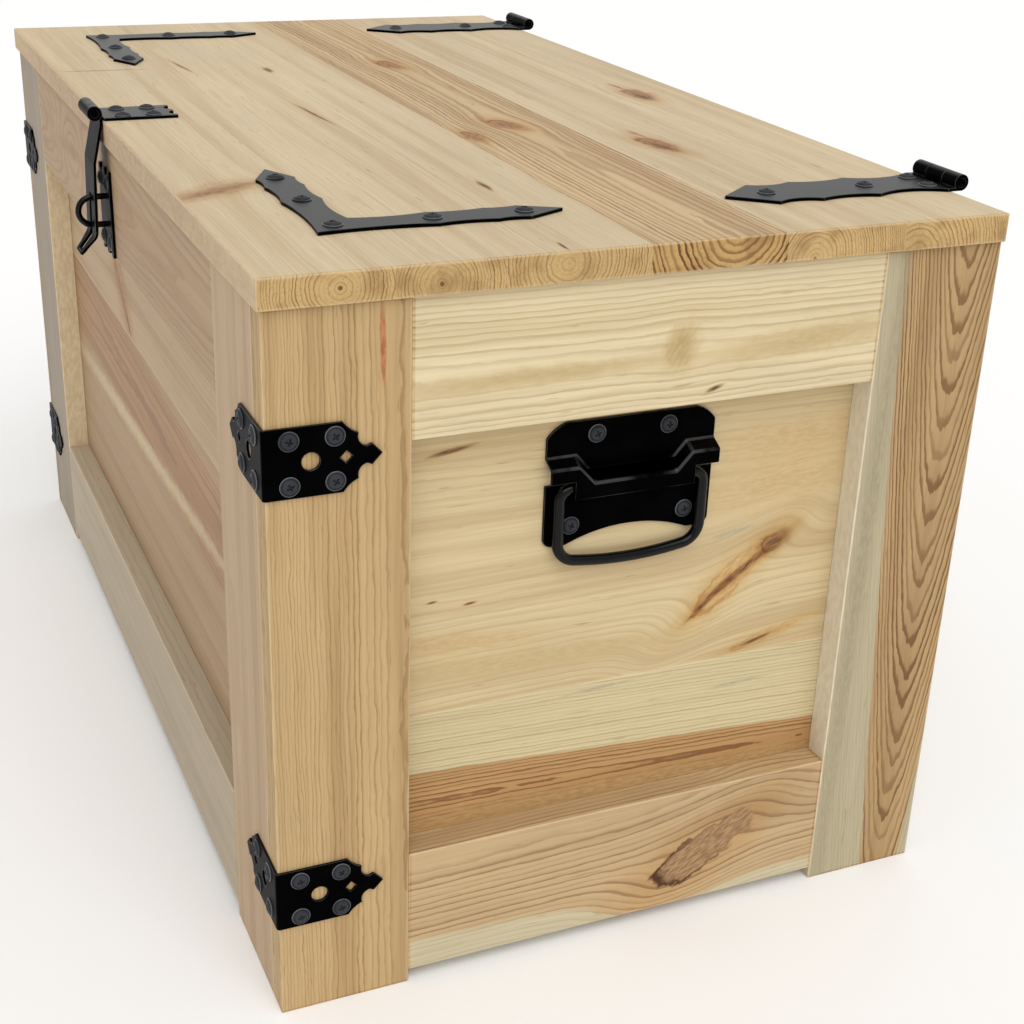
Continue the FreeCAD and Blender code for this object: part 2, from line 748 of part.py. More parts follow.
# Frame: end stiles run out to the corners, front and back stiles butt against their edges
rail_limits = {"top": (body_height - top_rail_height, body_height),
               "bottom": (foot_height, foot_height + bottom_rail_height)}
stile_z = (0, body_height)
front_stile_end = inner_half_length - front_stile_width
end_stile_end = half_width - end_stile_width
for end, side in sides.items():
    x = sorted((side * inner_half_length, side * half_length))
    for name, sign in (("front", -1), ("back", 1)):
        y = sorted((sign * end_stile_end, sign * half_width))
        parts[end + "_end_" + name + "_stile"] = block(x, y, stile_z, frame_edge_round)
    y = (-end_stile_end, end_stile_end)
    for level, z in rail_limits.items():
        parts[end + "_end_" + level + "_rail"] = block(x, y, z, frame_edge_round)
for wall, sign in (("front", -1), ("back", 1)):
    y = sorted((sign * inner_half_width, sign * half_width))
    for end, side in sides.items():
        x = sorted((side * front_stile_end, side * inner_half_length))
        parts[wall + "_" + end + "_stile"] = block(x, y, stile_z, frame_edge_round)
    x = (-front_stile_end, front_stile_end)
    for level, z in rail_limits.items():
        parts[wall + "_" + level + "_rail"] = block(x, y, z, frame_edge_round)

# Wall planks
long_joints = (foot_height, long_wall_lower_joint, body_height - long_wall_upper_plank, body_height)
end_joints = (foot_height, end_wall_lower_joint, body_height - end_wall_upper_plank, body_height)
plank_names = ("lower", "middle", "upper")
long_x = (-inner_half_length, inner_half_length)
end_y = (-wall_half_width, wall_half_width)
for level, z in zip(plank_names, zip(long_joints, long_joints[1:])):
    for wall, sign in (("front", -1), ("back", 1)):
        y = sorted((sign * wall_half_width, sign * inner_half_width))
        parts[wall + "_" + level + "_plank"] = block(long_x, y, z, plank_edge_round)
for level, z in zip(plank_names, zip(end_joints, end_joints[1:])):
    for end, side in sides.items():
        x = sorted((side * wall_half_length, side * inner_half_length))
        parts[end + "_end_" + level + "_plank"] = block(x, end_y, z, plank_edge_round)

# Floor boards on two cleats
floor_bottom = foot_height + cleat_height
floor_x = (-wall_half_length + floor_gap, wall_half_length - floor_gap)
floor_half = wall_half_width - floor_gap
floor_pitch = (2 * floor_half + floor_gap) / floor_board_count
floor_starts = [-floor_half + i * floor_pitch for i in range(floor_board_count)]
parts["floor_boards"] = Part.makeCompound([
    block(floor_x, (start, start + floor_pitch - floor_gap), (floor_bottom, floor_bottom + floor_thickness),
          plank_edge_round) for start in floor_starts])
cleat_starts = (-wall_half_width, wall_half_width - cleat_depth)
parts["floor_cleats"] = Part.makeCompound([
    block(floor_x, (start, start + cleat_depth), (foot_height, floor_bottom)) for start in cleat_starts])

# Lid boards cut from one eased slab, and the battens under them
lid_x = (-lid_half_length, lid_half_length)
lid_z = (lid_bottom, lid_top)
slab = block(lid_x, (lid_front, lid_back), lid_z, lid_edge_round)
last_board_width = lid_back - lid_front - sum(lid_board_widths)
joint = lid_front
for number, width in enumerate(lid_board_widths + (last_board_width,), 1):
    strip = block(lid_x, (joint, joint + width), lid_z)
    parts["lid_board_%d" % number] = slab.common(strip).Solids[0]
    joint += width
batten_half = wall_half_width - batten_end_room
batten_places = [place * (wall_half_length - batten_inset) for place in (-1, 0, 1)]
parts["lid_battens"] = Part.makeCompound([
    block((x - batten_width / 2, x + batten_width / 2), (-batten_half, batten_half),
          (lid_bottom - batten_thickness, lid_bottom), plank_edge_round) for x in batten_places])

# Pilot holes in the boards, and the staple's holes in its rail
for name, shape in parts.items():
    if len(shape.Solids) == 1:
        parts[name] = piloted(shape, all_seats)
parts["front_top_rail"] = parts["front_top_rail"].cut(staple_legs()).Solids[0]

# Iron fittings
for end, side in sides.items():
    for level, height in bracket_heights.items():
        parts[end + "_" + level + "_bracket"] = corner_bracket(side, height)
    parts[end + "_lid_plate"] = corner_plate(side)
    parts[end + "_hinge_strap"] = hinge_strap(side)
    parts[end + "_hinge_leaf"] = hinge_leaf(side)
    parts[end + "_handle_plate"] = handle_plate(side)
    parts[end + "_handle_bail"] = handle_bail(side)
parts["hinge_pins"] = Part.makeCompound([barrel_pin(hinge_x(side), hinge_half_barrel, hinge_y)
                                         for side in sides.values()])
parts["hasp_leaf"] = hasp_leaf()
parts["hasp_pin"] = barrel_pin(0, hasp_half_barrel, hasp_y)
parts["hasp_arm"] = hasp_arm()
parts["staple_plate"] = staple_plate()
parts["staple"] = staple()
for group, group_seats in seats.items():
    parts[group] = Part.makeCompound([screw_at(seat) for seat in group_seats])

os.makedirs("parts", exist_ok=True)
for name, shape in sorted(parts.items()):
    moved = shape.copy()
    moved.translate(middle_shift)
    moved.exportStep("parts/" + name + ".step")
    print(name, len(moved.Solids), moved.isValid(), round(moved.Volume, 1))
print("nodes", len(parts))
print("lid hinge axis y z", round(hinge_y + middle_shift.y, 4), round(barrel_z, 4))
print("hasp axis y z", round(hasp_y + middle_shift.y, 4), round(barrel_z, 4))
print("bail axis x z", round(bail_axis_x, 4), round(bail_axis_z, 4))
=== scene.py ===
# %% [markdown]
# # A pine storage chest with black iron fittings
# The chest is a frame of stiles and rails over wide planks, with a lid of six glued boards. The iron is
# folded sheet: corner brackets, lid plates, two strap hinges, a hasp and two drop handles. The packed
# model already has every piece at its true size, so this lesson is mostly about wood that looks sawn from
# a tree, and about iron with soft edges. The frame is loaded first.

# %% Load the frame
import json
import math
import random

import bmesh
import bpy
from mathutils import Color, Euler, Matrix, Vector

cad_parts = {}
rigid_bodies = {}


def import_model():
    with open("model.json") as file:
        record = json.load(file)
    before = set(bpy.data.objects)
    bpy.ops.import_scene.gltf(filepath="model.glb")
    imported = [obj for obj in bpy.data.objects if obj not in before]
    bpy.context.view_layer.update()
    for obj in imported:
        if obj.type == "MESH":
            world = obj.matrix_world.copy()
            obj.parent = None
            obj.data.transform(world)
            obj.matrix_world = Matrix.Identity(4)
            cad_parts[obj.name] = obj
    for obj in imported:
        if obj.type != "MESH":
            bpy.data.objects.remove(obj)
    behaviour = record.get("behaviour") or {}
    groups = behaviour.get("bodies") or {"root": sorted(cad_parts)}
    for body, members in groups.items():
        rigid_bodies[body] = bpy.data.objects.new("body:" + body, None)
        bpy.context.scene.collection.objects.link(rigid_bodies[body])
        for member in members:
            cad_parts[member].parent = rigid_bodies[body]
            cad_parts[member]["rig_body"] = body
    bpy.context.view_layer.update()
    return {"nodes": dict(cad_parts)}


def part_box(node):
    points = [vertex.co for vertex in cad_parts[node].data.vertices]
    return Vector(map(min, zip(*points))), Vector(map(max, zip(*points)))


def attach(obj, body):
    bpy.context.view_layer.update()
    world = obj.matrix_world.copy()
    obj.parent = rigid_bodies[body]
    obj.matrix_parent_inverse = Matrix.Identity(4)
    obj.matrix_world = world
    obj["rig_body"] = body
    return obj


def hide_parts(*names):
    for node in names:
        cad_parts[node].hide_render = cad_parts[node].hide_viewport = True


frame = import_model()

bpy.ops.object.select_all(action="DESELECT")
nodes = frame["nodes"]

# %% [markdown]
# ## Camera
# The photograph was taken from the right front corner, a little above the lid, close enough for strong
# perspective. The place, the two angles, the slight roll of the hand and the lens were found by lining up
# the corners of the chest with the same corners in the picture. A camera turned by plain angles is easy
# to read.

# %% Camera at the photograph's viewing angle
camera_place = Vector((1.2871, -0.4640, 0.7649))
camera_azimuth = 65.93
camera_elevation = 24.52
camera_roll = 2.0
lens_mm = 57.98
sensor_mm = 36

bpy.ops.object.camera_add(location=camera_place)
camera = bpy.context.object
aim = Euler((math.radians(90 - camera_elevation), 0, math.radians(camera_azimuth))).to_matrix()
roll = Matrix.Rotation(math.radians(camera_roll), 3, "Z")
camera.rotation_euler = (aim @ roll).to_euler()
camera.data.sensor_width = sensor_mm
camera.data.lens = lens_mm
bpy.context.scene.camera = camera
print("camera at", tuple(camera.location), "lens", lens_mm)

# %% [markdown]
# ## Floor and light
# The chest stands in a white studio. A wide pale floor and an almost white world give soft light from all
# round, which also lets the satin iron on the lid turn grey where it is seen at a low angle, together with
# a painted sheen on the iron's upward faces. One broad soft light from above the right end makes that end
# and the lid brighter than the front, which stays in light shade. Where the camera looks past the floor's
# edge, the world is shown as white as the floor, and its light on the chest stays the same.

# %% Pale floor
floor_size = 40.0
floor_white = 0.98
floor_roughness = 0.8

bpy.ops.mesh.primitive_plane_add(size=floor_size)
floor = bpy.context.object
floor.name = "studio_floor"

floor_paint = bpy.data.materials.new("pale studio floor")
floor_paint.use_nodes = True
floor_shader = floor_paint.node_tree.nodes["Principled BSDF"]
floor_shader.inputs["Base Color"].default_value = (floor_white, floor_white, floor_white, 1)
floor_shader.inputs["Roughness"].default_value = floor_roughness
floor.data.materials.append(floor_paint)
print("floor", floor_size, "m wide")

# %% Soft studio light
world_colour = (1.0, 0.995, 0.985, 1)
world_strength = 0.72
world_shown = 1.0
sun_strength = 1.3
sun_direction = Vector((0.62, -0.08, 0.78))
sun_softness = 50

world = bpy.data.worlds.new("white studio")
world.use_nodes = True
sky = world.node_tree
sky.nodes["Background"].inputs["Color"].default_value = world_colour
shown = sky.nodes.new("ShaderNodeMapRange")
shown.inputs["To Min"].default_value = world_strength
shown.inputs["To Max"].default_value = world_shown
seen_directly = sky.nodes.new("ShaderNodeLightPath").outputs["Is Camera Ray"]
sky.links.new(seen_directly, shown.inputs["Value"])
sky.links.new(shown.outputs["Result"], sky.nodes["Background"].inputs["Strength"])
bpy.context.scene.world = world

bpy.ops.object.light_add(type="SUN")
sun = bpy.context.object
sun.name = "soft key light"
sun.data.energy = sun_strength
sun.data.angle = math.radians(sun_softness)
sun.rotation_euler = sun_direction.to_track_quat("Z", "Y").to_euler()
bpy.context.scene.view_settings.view_transform = "Standard"
bpy.context.scene.view_settings.look = "None"
print("world", world_strength, "key light", sun_strength)

# %% [markdown]
# ## Small helpers for node trees
# A wood shader is mostly arithmetic on coordinates. Most of these helpers add one node, feed its inputs
# with a number or with another node's output, and return the output, so that the recipes below read like
# formulas. The last ones make a material and put it on a piece.

# %% Node helpers


def feed(tree, socket, value):
    """Sets a socket to a plain value, or links another node's output to it."""
    if isinstance(value, bpy.types.NodeSocket):
        tree.links.new(value, socket)
    else:
        socket.default_value = value


def feed_all(tree, node, values):
    """Feeds several inputs of a node by name."""
    for label, value in values.items():
        feed(tree, node.inputs[label], value)


def add(tree, kind):
    """A new shader node."""
    return tree.nodes.new("ShaderNode" + kind)


def calc(tree, operation, *values):
    """A Math node."""
    node = add(tree, "Math")
    node.operation = operation
    for socket, value in zip(node.inputs, values):
        feed(tree, socket, value)
    return node.outputs[0]


def plus(tree, a, b):
    """A sum."""
    return calc(tree, "ADD", a, b)


def minus(tree, a, b):
    """A difference."""
    return calc(tree, "SUBTRACT", a, b)


def times(tree, a, b):
    """A product."""
    return calc(tree, "MULTIPLY", a, b)


def over(tree, a, b):
    """A quotient."""
    return calc(tree, "DIVIDE", a, b)


def vector_calc(tree, operation, *values):
    """A Vector Math node. Length gives a number, and Scale takes its number last."""
    node = add(tree, "VectorMath")
    node.operation = operation
    sockets = [node.inputs[0], node.inputs["Scale"]] if operation == "SCALE" else node.inputs
    for socket, value in zip(sockets, values):
        feed(tree, socket, value)
    return node.outputs["Value" if operation == "LENGTH" else "Vector"]


def parts_of(tree, vector):
    """The three numbers of a vector."""
    node = add(tree, "SeparateXYZ")
    feed(tree, node.inputs[0], vector)
    return node.outputs


def vector_of(tree, x, y, z):
    """A vector from three numbers."""
    node = add(tree, "CombineXYZ")
    for socket, value in zip(node.inputs, (x, y, z)):
        feed(tree, socket, value)
    return node.outputs[0]


def ramp(tree, value, start, end):
    """0 before start, 1 after end and a soft S between them. Start may be the larger one."""
    node = add(tree, "MapRange")
    node.interpolation_type = "SMOOTHSTEP"
    feed_all(tree, node, {"Value": value, "From Min": start, "From Max": end})
    return node.outputs["Result"]


def noise(tree, place, stretch, detail=2.0):
    """Noise with its own number of blobs per metre along each axis."""
    node = add(tree, "TexNoise")
    stretched = vector_calc(tree, "MULTIPLY", place, stretch)
    feed_all(tree, node, {"Vector": stretched, "Scale": 1.0, "Detail": detail})
    return node.outputs


def jitter(tree, place, stretch, detail=2.0):
    """Noise as a vector around zero."""
    return vector_calc(tree, "SUBTRACT", noise(tree, place, stretch, detail)["Color"], (0.5, 0.5, 0.5))


def moved_by_seed(tree, place, step, seed):
    """A place moved by steps, as many as the seed says, so that no two boards share their noise."""
    return vector_calc(tree, "ADD", place, vector_calc(tree, "SCALE", step, seed))


def blend(tree, factor, a, b, how="MIX"):
    """Two colours mixed by a factor."""
    node = add(tree, "Mix")
    node.data_type = "RGBA"
    node.blend_type = how
    feed(tree, node.inputs["Factor"], factor)
    feed(tree, node.inputs[6], a)
    feed(tree, node.inputs[7], b)
    return node.outputs[2]


def start_group(name, inputs, outputs):
    """A shader node group with named sockets, listed by their kind."""
    tree = bpy.data.node_groups.new(name, "ShaderNodeTree")
    for side, kinds in (("INPUT", inputs), ("OUTPUT", outputs)):
        for kind, labels in kinds.items():
            for label in labels:
                tree.interface.new_socket(name=label, in_out=side, socket_type="NodeSocket" + kind)
    return tree, tree.nodes.new("NodeGroupInput").outputs, tree.nodes.new("NodeGroupOutput").inputs


def use_group(tree, group, values):
    """Places a group in a tree, feeds its inputs by name and returns its outputs."""
    node = add(tree, "Group")
    node.node_tree = group
    feed_all(tree, node, values)
    return node.outputs


def tint(red, green, blue):
    """A colour given as it looks on screen, from 0 to 255, for a shader socket."""
    return (*Color((red / 255, green / 255, blue / 255)).from_srgb_to_scene_linear(), 1.0)


def new_material(name):
    """A material, its node tree and its shader."""
    material = bpy.data.materials.new(name)
    material.use_nodes = True
    return material, material.node_tree, material.node_tree.nodes["Principled BSDF"]


def add_bump(tree, shader, height, strength, distance):
    """Fine relief on a shader, from a height."""
    bump = add(tree, "Bump")
    feed_all(tree, bump, {"Strength": strength, "Distance": distance, "Height": height})
    feed(tree, shader.inputs["Normal"], bump.outputs[0])


def dress(node, material):
    """Gives a CAD node one material."""
    nodes[node].data.materials.clear()
    nodes[node].data.materials.append(material)


print("helpers ready")

# %% [markdown]
# ## Growth rings
# A tree is a stack of cones around a pith, and a board is a slice through it. So the rings are worked out
# in the solid, as the distance from a pith line, and every face then shows its own cut: arcs on the end
# grain, V shapes where the saw ran along a ring, and straight lines near the edge of the log. A wave or
# wood texture painted on each face would not meet at the corners. The pith line leans and wanders a
# little along the board, the cone's taper makes the V shapes, and rings get tighter away from the pith.

# %% Group: growth rings
ripple_share = 0.9
uneven_years = 1.7
uneven_pace = 0.3
late_rise = 0.22
sharp_share = 0.7
weakest_year = 0.4

rings_group, given, result = start_group(
    "growth rings",
    {"Vector": ["Place", "Pith"],
     "Float": ["Lean", "Ring Width", "Tightening", "Wander", "Taper", "Ragged", "Late Start", "Seed"]},
    {"Float": ["Late", "Radius", "Pith Distance"]})
tree = rings_group
along = parts_of(tree, given["Place"])["X"]
shifted = moved_by_seed(tree, given["Place"], (3.1, 1.7, 2.3), given["Seed"])

drift = vector_calc(tree, "SCALE", jitter(tree, shifted, (2.4, 5.0, 5.0)), given["Wander"])
lean = vector_of(tree, 0.0, times(tree, along, given["Lean"]), 0.0)
from_pith = vector_calc(tree, "SUBTRACT", vector_calc(tree, "ADD", given["Place"], drift), given["Pith"])
from_pith = vector_calc(tree, "SUBTRACT", from_pith, lean)
plain_radius = vector_calc(tree, "LENGTH", vector_calc(tree, "MULTIPLY", from_pith, (0.0, 1.0, 1.0)))

radius = plus(tree, plain_radius, times(tree, along, given["Taper"]))
ripple = minus(tree, noise(tree, shifted, (16.0, 70.0, 70.0), 4.0)[0], 0.5)
ripple = times(tree, ripple, times(tree, given["Ring Width"], ripple_share))
fine_ripple = minus(tree, noise(tree, shifted, (60.0, 230.0, 230.0), 2.0)[0], 0.5)
fine_ripple = times(tree, fine_ripple, times(tree, given["Ring Width"], given["Ragged"]))
radius = plus(tree, plus(tree, radius, ripple), fine_ripple)

tighter = plus(tree, 1.0, times(tree, radius, given["Tightening"]))
count = times(tree, over(tree, radius, given["Ring Width"]), tighter)
pace = vector_of(tree, times(tree, count, uneven_pace), given["Seed"], 0.0)
count = plus(tree, count, times(tree, noise(tree, pace, (1.0, 1.0, 1.0))[0], uneven_years))
year = calc(tree, "FLOOR", count)
season = calc(tree, "FRACT", count)
sharp = ramp(tree, season, given["Late Start"], plus(tree, given["Late Start"], late_rise))
gradual = ramp(tree, season, 0.15, 0.9)
late = plus(tree, times(tree, sharp, sharp_share), times(tree, gradual, 1 - sharp_share))
late = times(tree, late, ramp(tree, season, 1.0, 0.94))

dice = add(tree, "TexWhiteNoise")
dice.noise_dimensions = "1D"
feed(tree, dice.inputs["W"], plus(tree, year, given["Seed"]))
strength = plus(tree, weakest_year, times(tree, dice.outputs["Value"], 1 - weakest_year))
feed(tree, result["Late"], times(tree, late, strength))
feed(tree, result["Radius"], radius)
feed(tree, result["Pith Distance"], plain_radius)
print("group", rings_group.name, len(tree.nodes), "nodes")

# %% [markdown]
# ## Knots
# A knot is the root of a branch. It is an oval with its own fibres and a dark rim on one side, often
# slanted, and the grain of the board swells round it. The group gives out a shift that pushes the
# coordinates apart near the oval, so that the rings made from them flow round it, and masks for the core,
# the rim and the stained wood. One soft setting turns the same group into a faint smudge, and a very
# narrow oval makes a resin streak or a split. Over a branch that stays inside the board the rings only
# rise towards the face, so the saw cuts them in ovals: that is the group's lift.

# %% Group: knot
bulge_share = 1.3
ragged_share = 0.4
egg_share = 0.10
push_along = 0.50
push_across = 0.40

knot_group, given, result = start_group(
    "knot",
    {"Vector": ["Place", "Middle"],
     "Float": ["Half Length", "Half Width", "Slant", "Push", "Lift", "Softness", "Seed"]},
    {"Vector": ["Shift"], "Float": ["Core", "Rim", "Halo", "Fibre"]})
tree = knot_group
offset = vector_calc(tree, "SUBTRACT", given["Place"], given["Middle"])
turn = add(tree, "VectorRotate")
turn.rotation_type = "Z_AXIS"
feed_all(tree, turn, {"Vector": offset, "Angle": times(tree, given["Slant"], -1.0)})
straight = turn.outputs[0]
shifted = moved_by_seed(tree, straight, (1.3, 2.9, 0.7), given["Seed"])
bulges = vector_calc(tree, "SCALE", jitter(tree, shifted, (70.0, 110.0, 60.0)), bulge_share)
ragged = vector_calc(tree, "SCALE", jitter(tree, shifted, (330.0, 600.0, 300.0), 3.0), ragged_share)
wobble = vector_calc(tree, "SCALE", vector_calc(tree, "ADD", bulges, ragged), given["Half Width"])
own = parts_of(tree, vector_calc(tree, "ADD", straight, wobble))
run = over(tree, own["X"], given["Half Length"])
egg = times(tree, given["Half Width"], minus(tree, 1.0, times(tree, run, egg_share)))
oval = vector_calc(tree, "LENGTH", vector_of(tree, run, over(tree, own["Y"], egg), 0.0))

even = parts_of(tree, straight)
far_along = over(tree, times(tree, even["X"], push_along), given["Half Length"])
far_across = over(tree, times(tree, even["Y"], push_across), given["Half Width"])
far = vector_calc(tree, "LENGTH", vector_of(tree, far_along, far_across, 0.0))
nearness = calc(tree, "EXPONENT", times(tree, times(tree, far, far), -1.0))
squeeze = times(tree, parts_of(tree, offset)["Y"], times(tree, nearness, given["Push"]))
rise = times(tree, nearness, given["Lift"])
feed(tree, result["Shift"], vector_of(tree, 0.0, squeeze, rise))

outer = plus(tree, 1.0, given["Softness"])
inner = minus(tree, 1.0, given["Softness"])
feed(tree, result["Core"], ramp(tree, oval, outer, inner))
one_side = ramp(tree, run, 1.2, -1.0)
band = times(tree, ramp(tree, oval, 0.82, 1.0), ramp(tree, oval, 1.18, 1.03))
feed(tree, result["Rim"], times(tree, band, one_side))
feed(tree, result["Halo"], ramp(tree, oval, 2.8, 0.7))
fibres = noise(tree, shifted, (130.0, 480.0, 300.0), 4.0)[0]
feed(tree, result["Fibre"], ramp(tree, fibres, 0.35, 0.65))
print("group", knot_group.name, len(tree.nodes), "nodes")

# %% [markdown]
# ## Pine colours
# Pine has pale sapwood outside and warmer heartwood near the pith, and in both the late wood of each ring
# is darker than the early wood. On top come long soft streaks, fine fibres and short dark resin dashes,
# all stretched along the board. End grain soaks up light, so it is more golden, its rings stand out, and
# the pith shows as a dark dot.

# %% Group: pine colours
END_LATE = tint(184, 154, 112)
END_GOLD = tint(237, 219, 181)
END_PORE = tint(140, 104, 60)
RESIN_FLECK = tint(132, 96, 60)
PITH_DOT = tint(112, 78, 44)
end_line_floor = 0.3
end_line_growth = 0.6
pore_strength = 0.30
fleck_strength = 0.35
fibre_shade = 0.28
cloud_shade = 0.20
base_shade = 0.75
base_roughness = 0.56

pine_group, given, result = start_group(
    "pine colours",
    {"Vector": ["Place"],
     "Float": ["Late", "Radius", "Pith Distance", "Heart", "Heart Taper", "Heart Softness", "Half Length",
               "Lines", "Streaks", "Pith Mark", "Seed"],
     "Color": ["Sap Early", "Sap Late", "Heart Early", "Heart Late"]},
    {"Color": ["Color"], "Float": ["Roughness", "Height"]})
tree = pine_group
along = parts_of(tree, given["Place"])["X"]
shifted = moved_by_seed(tree, given["Place"], (2.7, 1.9, 3.3), given["Seed"])

border = plus(tree, given["Heart"], times(tree, along, given["Heart Taper"]))
inside = minus(tree, border, given["Radius"])
heart = ramp(tree, inside, times(tree, given["Heart Softness"], -1.0), given["Heart Softness"])
end_depth = minus(tree, given["Half Length"], calc(tree, "ABSOLUTE", along))
end_grain = ramp(tree, end_depth, 0.0022, 0.0010)
outer_rings = times(tree, ramp(tree, given["Pith Distance"], 0.004, 0.026), end_line_growth)
outer_rings = plus(tree, end_line_floor, outer_rings)
end_lines = times(tree, end_grain, calc(tree, "MAXIMUM", outer_rings, heart))
late = times(tree, given["Late"], calc(tree, "MAXIMUM", given["Lines"], end_lines))

early_colour = blend(tree, heart, given["Sap Early"], given["Heart Early"])
late_colour = blend(tree, heart, given["Sap Late"], given["Heart Late"])
late_colour = blend(tree, end_grain, late_colour, blend(tree, 1.0, late_colour, END_LATE, "MULTIPLY"))
colour = blend(tree, late, early_colour, late_colour)

streaks = noise(tree, shifted, (1.6, 60.0, 60.0), 3.0)[0]
fibres = noise(tree, shifted, (16.0, 620.0, 620.0), 3.0)[0]
clouds = noise(tree, shifted, (3.0, 14.0, 14.0), 2.0)[0]
dashes = noise(tree, shifted, (38.0, 420.0, 420.0), 1.0)[0]
streaky = times(tree, ramp(tree, streaks, 0.42, 0.72), given["Streaks"])
colour = blend(tree, streaky, colour, late_colour)
shade = plus(tree, base_shade, times(tree, fibres, fibre_shade))
shade = plus(tree, shade, times(tree, minus(tree, clouds, 0.5), cloud_shade))
flecks = times(tree, ramp(tree, dashes, 0.70, 0.80), fleck_strength)
shaded = vector_calc(tree, "SCALE", blend(tree, flecks, colour, RESIN_FLECK), shade)

golden = blend(tree, 1.0, shaded, END_GOLD, "MULTIPLY")
pores = ramp(tree, noise(tree, shifted, (300.0, 700.0, 700.0), 3.0)[0], 0.52, 0.70)
golden = blend(tree, times(tree, pores, pore_strength), golden, END_PORE)
colour = blend(tree, end_grain, shaded, golden)
pith_dot = times(tree, ramp(tree, given["Pith Distance"], 0.0018, 0.0010), given["Pith Mark"])
feed(tree, result["Color"], blend(tree, pith_dot, colour, PITH_DOT))
smooth = minus(tree, times(tree, fibres, 0.2), times(tree, late, 0.12))
feed(tree, result["Roughness"], plus(tree, base_roughness, smooth))
feed(tree, result["Height"], plus(tree, times(tree, fibres, 0.5), late))
print("group", pine_group.name, len(tree.nodes), "nodes")

# %% [markdown]
# ## Eased edges and their painted highlight
# Every arris is rounded with sandpaper, and there the wood is a little lighter, in patches: partly the
# fresh sanded wood, and partly a painted highlight along the rounded edge. On a board the arris is where
# two of the three distances to its faces are small, so the mask is the second smallest of them. That
# needs no bevel node, and works from any side.

# %% Group: eased edges with a painted highlight
EASED_AND_HIGHLIGHT = tint(236, 216, 178)
eased_reach = 0.0036
eased_highlight_strength = 0.35

edges_group, given, result = start_group(
    "eased edges and highlight",
    {"Color": ["Color"], "Vector": ["Place", "Half Size"]},
    {"Color": ["Color"]})
tree = edges_group
depths = vector_calc(tree, "SUBTRACT", given["Half Size"], vector_calc(tree, "ABSOLUTE", given["Place"]))
a, b, c = parts_of(tree, depths)
second = calc(tree, "MAXIMUM", calc(tree, "MINIMUM", a, b),
              calc(tree, "MINIMUM", calc(tree, "MAXIMUM", a, b), c))
patchy = noise(tree, given["Place"], (30.0, 30.0, 30.0), 2.0)[0]
# Lighter along the arris: partly fresh sanded wood, partly a painted highlight.
rubbed_and_highlight = times(tree, ramp(tree, second, times(tree, patchy, eased_reach), 0.0), eased_highlight_strength)
feed(tree, result["Color"], blend(tree, rubbed_and_highlight, given["Color"], EASED_AND_HIGHLIGHT))
print("group", edges_group.name, len(tree.nodes), "nodes")

# %% [markdown]
# ## From boards to materials
# Each board gets its own material, because each is its own slice of a tree. A Mapping node moves the
# board to the origin and turns it so that X runs along it, Y across it and Z through it. The pith is given
# where it lies on the chest, in metres, and so is each knot, by two numbers on the board's outer face.
# Both are turned in the same way.

# %% Where a board lies
TURNS = {"xz": (0, 0, 0), "xy": (90, 0, 0), "zx": (0, 90, 0), "zy": (90, 0, 90),
         "yx": (0, -90, -90), "yz": (0, 0, -90)}
lane_slip = 0.8
lane_rise = 0.011


def board_frame(low, high, along=None):
    """The turn that puts a board along X and its thickness along Z, its middle and its half size."""
    size = high - low
    order = sorted(range(3), key=lambda axis: size[axis])
    long_axis = along or "xyz"[order[2]]
    thin_axis = "xyz"[order[0]]
    turn = Euler([math.radians(angle) for angle in TURNS[long_axis + thin_axis]])
    middle = (low + high) / 2
    half = turn.to_matrix() @ (size / 2)
    return turn, middle, Vector([abs(value) for value in half])


def board_place(tree, turn, centre):
    """Coordinates with a point of the chest as their origin, turned to run along the board."""
    mapping = add(tree, "Mapping")
    feed_all(tree, mapping, {"Rotation": turn, "Location": -(turn.to_matrix() @ centre),
                             "Vector": add(tree, "TexCoord").outputs["Object"]})
    return mapping.outputs[0]


def lane_place(tree, place, half, lanes):
    """Moves each of several boards side by side in one node to its own part of the tree."""
    pitch = 2 * half.y / lanes
    lane = calc(tree, "FLOOR", over(tree, plus(tree, parts_of(tree, place)["Y"], half.y), pitch))
    return moved_by_seed(tree, place, (0.0, -lane_slip * pitch, lane_rise), lane)


print("ways to lay a board:", len(TURNS))

# %% Colours of pine
# Early and late sapwood, then early and late heartwood
PALETTES = {
    "tan": ((201, 170, 122), (148, 110, 64), (196, 160, 112), (146, 104, 60)),
    "cream": ((227, 210, 172), (186, 158, 110), (210, 186, 138), (176, 144, 96)),
    "peach": ((219, 198, 154), (184, 152, 106), (200, 162, 112), (150, 108, 66)),
    "straw": ((218, 202, 160), (190, 166, 120), (194, 152, 100), (128, 86, 48)),
    "honey": ((209, 197, 164), (184, 166, 128), (204, 174, 131), (140, 104, 66)),
    "stain": ((188, 176, 145), (176, 163, 131), (191, 158, 111), (124, 86, 46)),
    "lid": ((221, 201, 166), (188, 157, 114), (214, 187, 144), (146, 102, 62)),
    # The front's palettes, rose, russet, ash and grey, are darker partly as painted shade of the front,
    # which faces away from the key light.
    "rose": ((198, 172, 139), (167, 132, 97), (192, 154, 116), (152, 110, 76)),
    "russet": ((187, 159, 126), (160, 125, 91), (184, 148, 112), (148, 108, 76)),
    "ash": ((170, 157, 139), (150, 134, 113), (166, 148, 124), (146, 128, 104)),
    "grey": ((194, 179, 155), (172, 154, 126), (186, 166, 138), (160, 138, 108)),
    "inside": ((218, 198, 156), (190, 156, 106), (204, 164, 112), (160, 112, 64)),
}
print("palettes", list(PALETTES))

# %% One material per board
wood_shine = 0.3
wood_relief = 0.25
wood_relief_depth = 0.0004


def on_board(low, high, spot):
    """A spot on a board's outer face, given by two numbers. Three numbers are a spot anywhere."""
    if len(spot) == 3:
        return Vector(spot)
    thin = min(range(3), key=lambda axis: high[axis] - low[axis])
    face = max(low[thin], high[thin], key=abs)
    return Vector((*spot[:thin], face, *spot[thin:]))


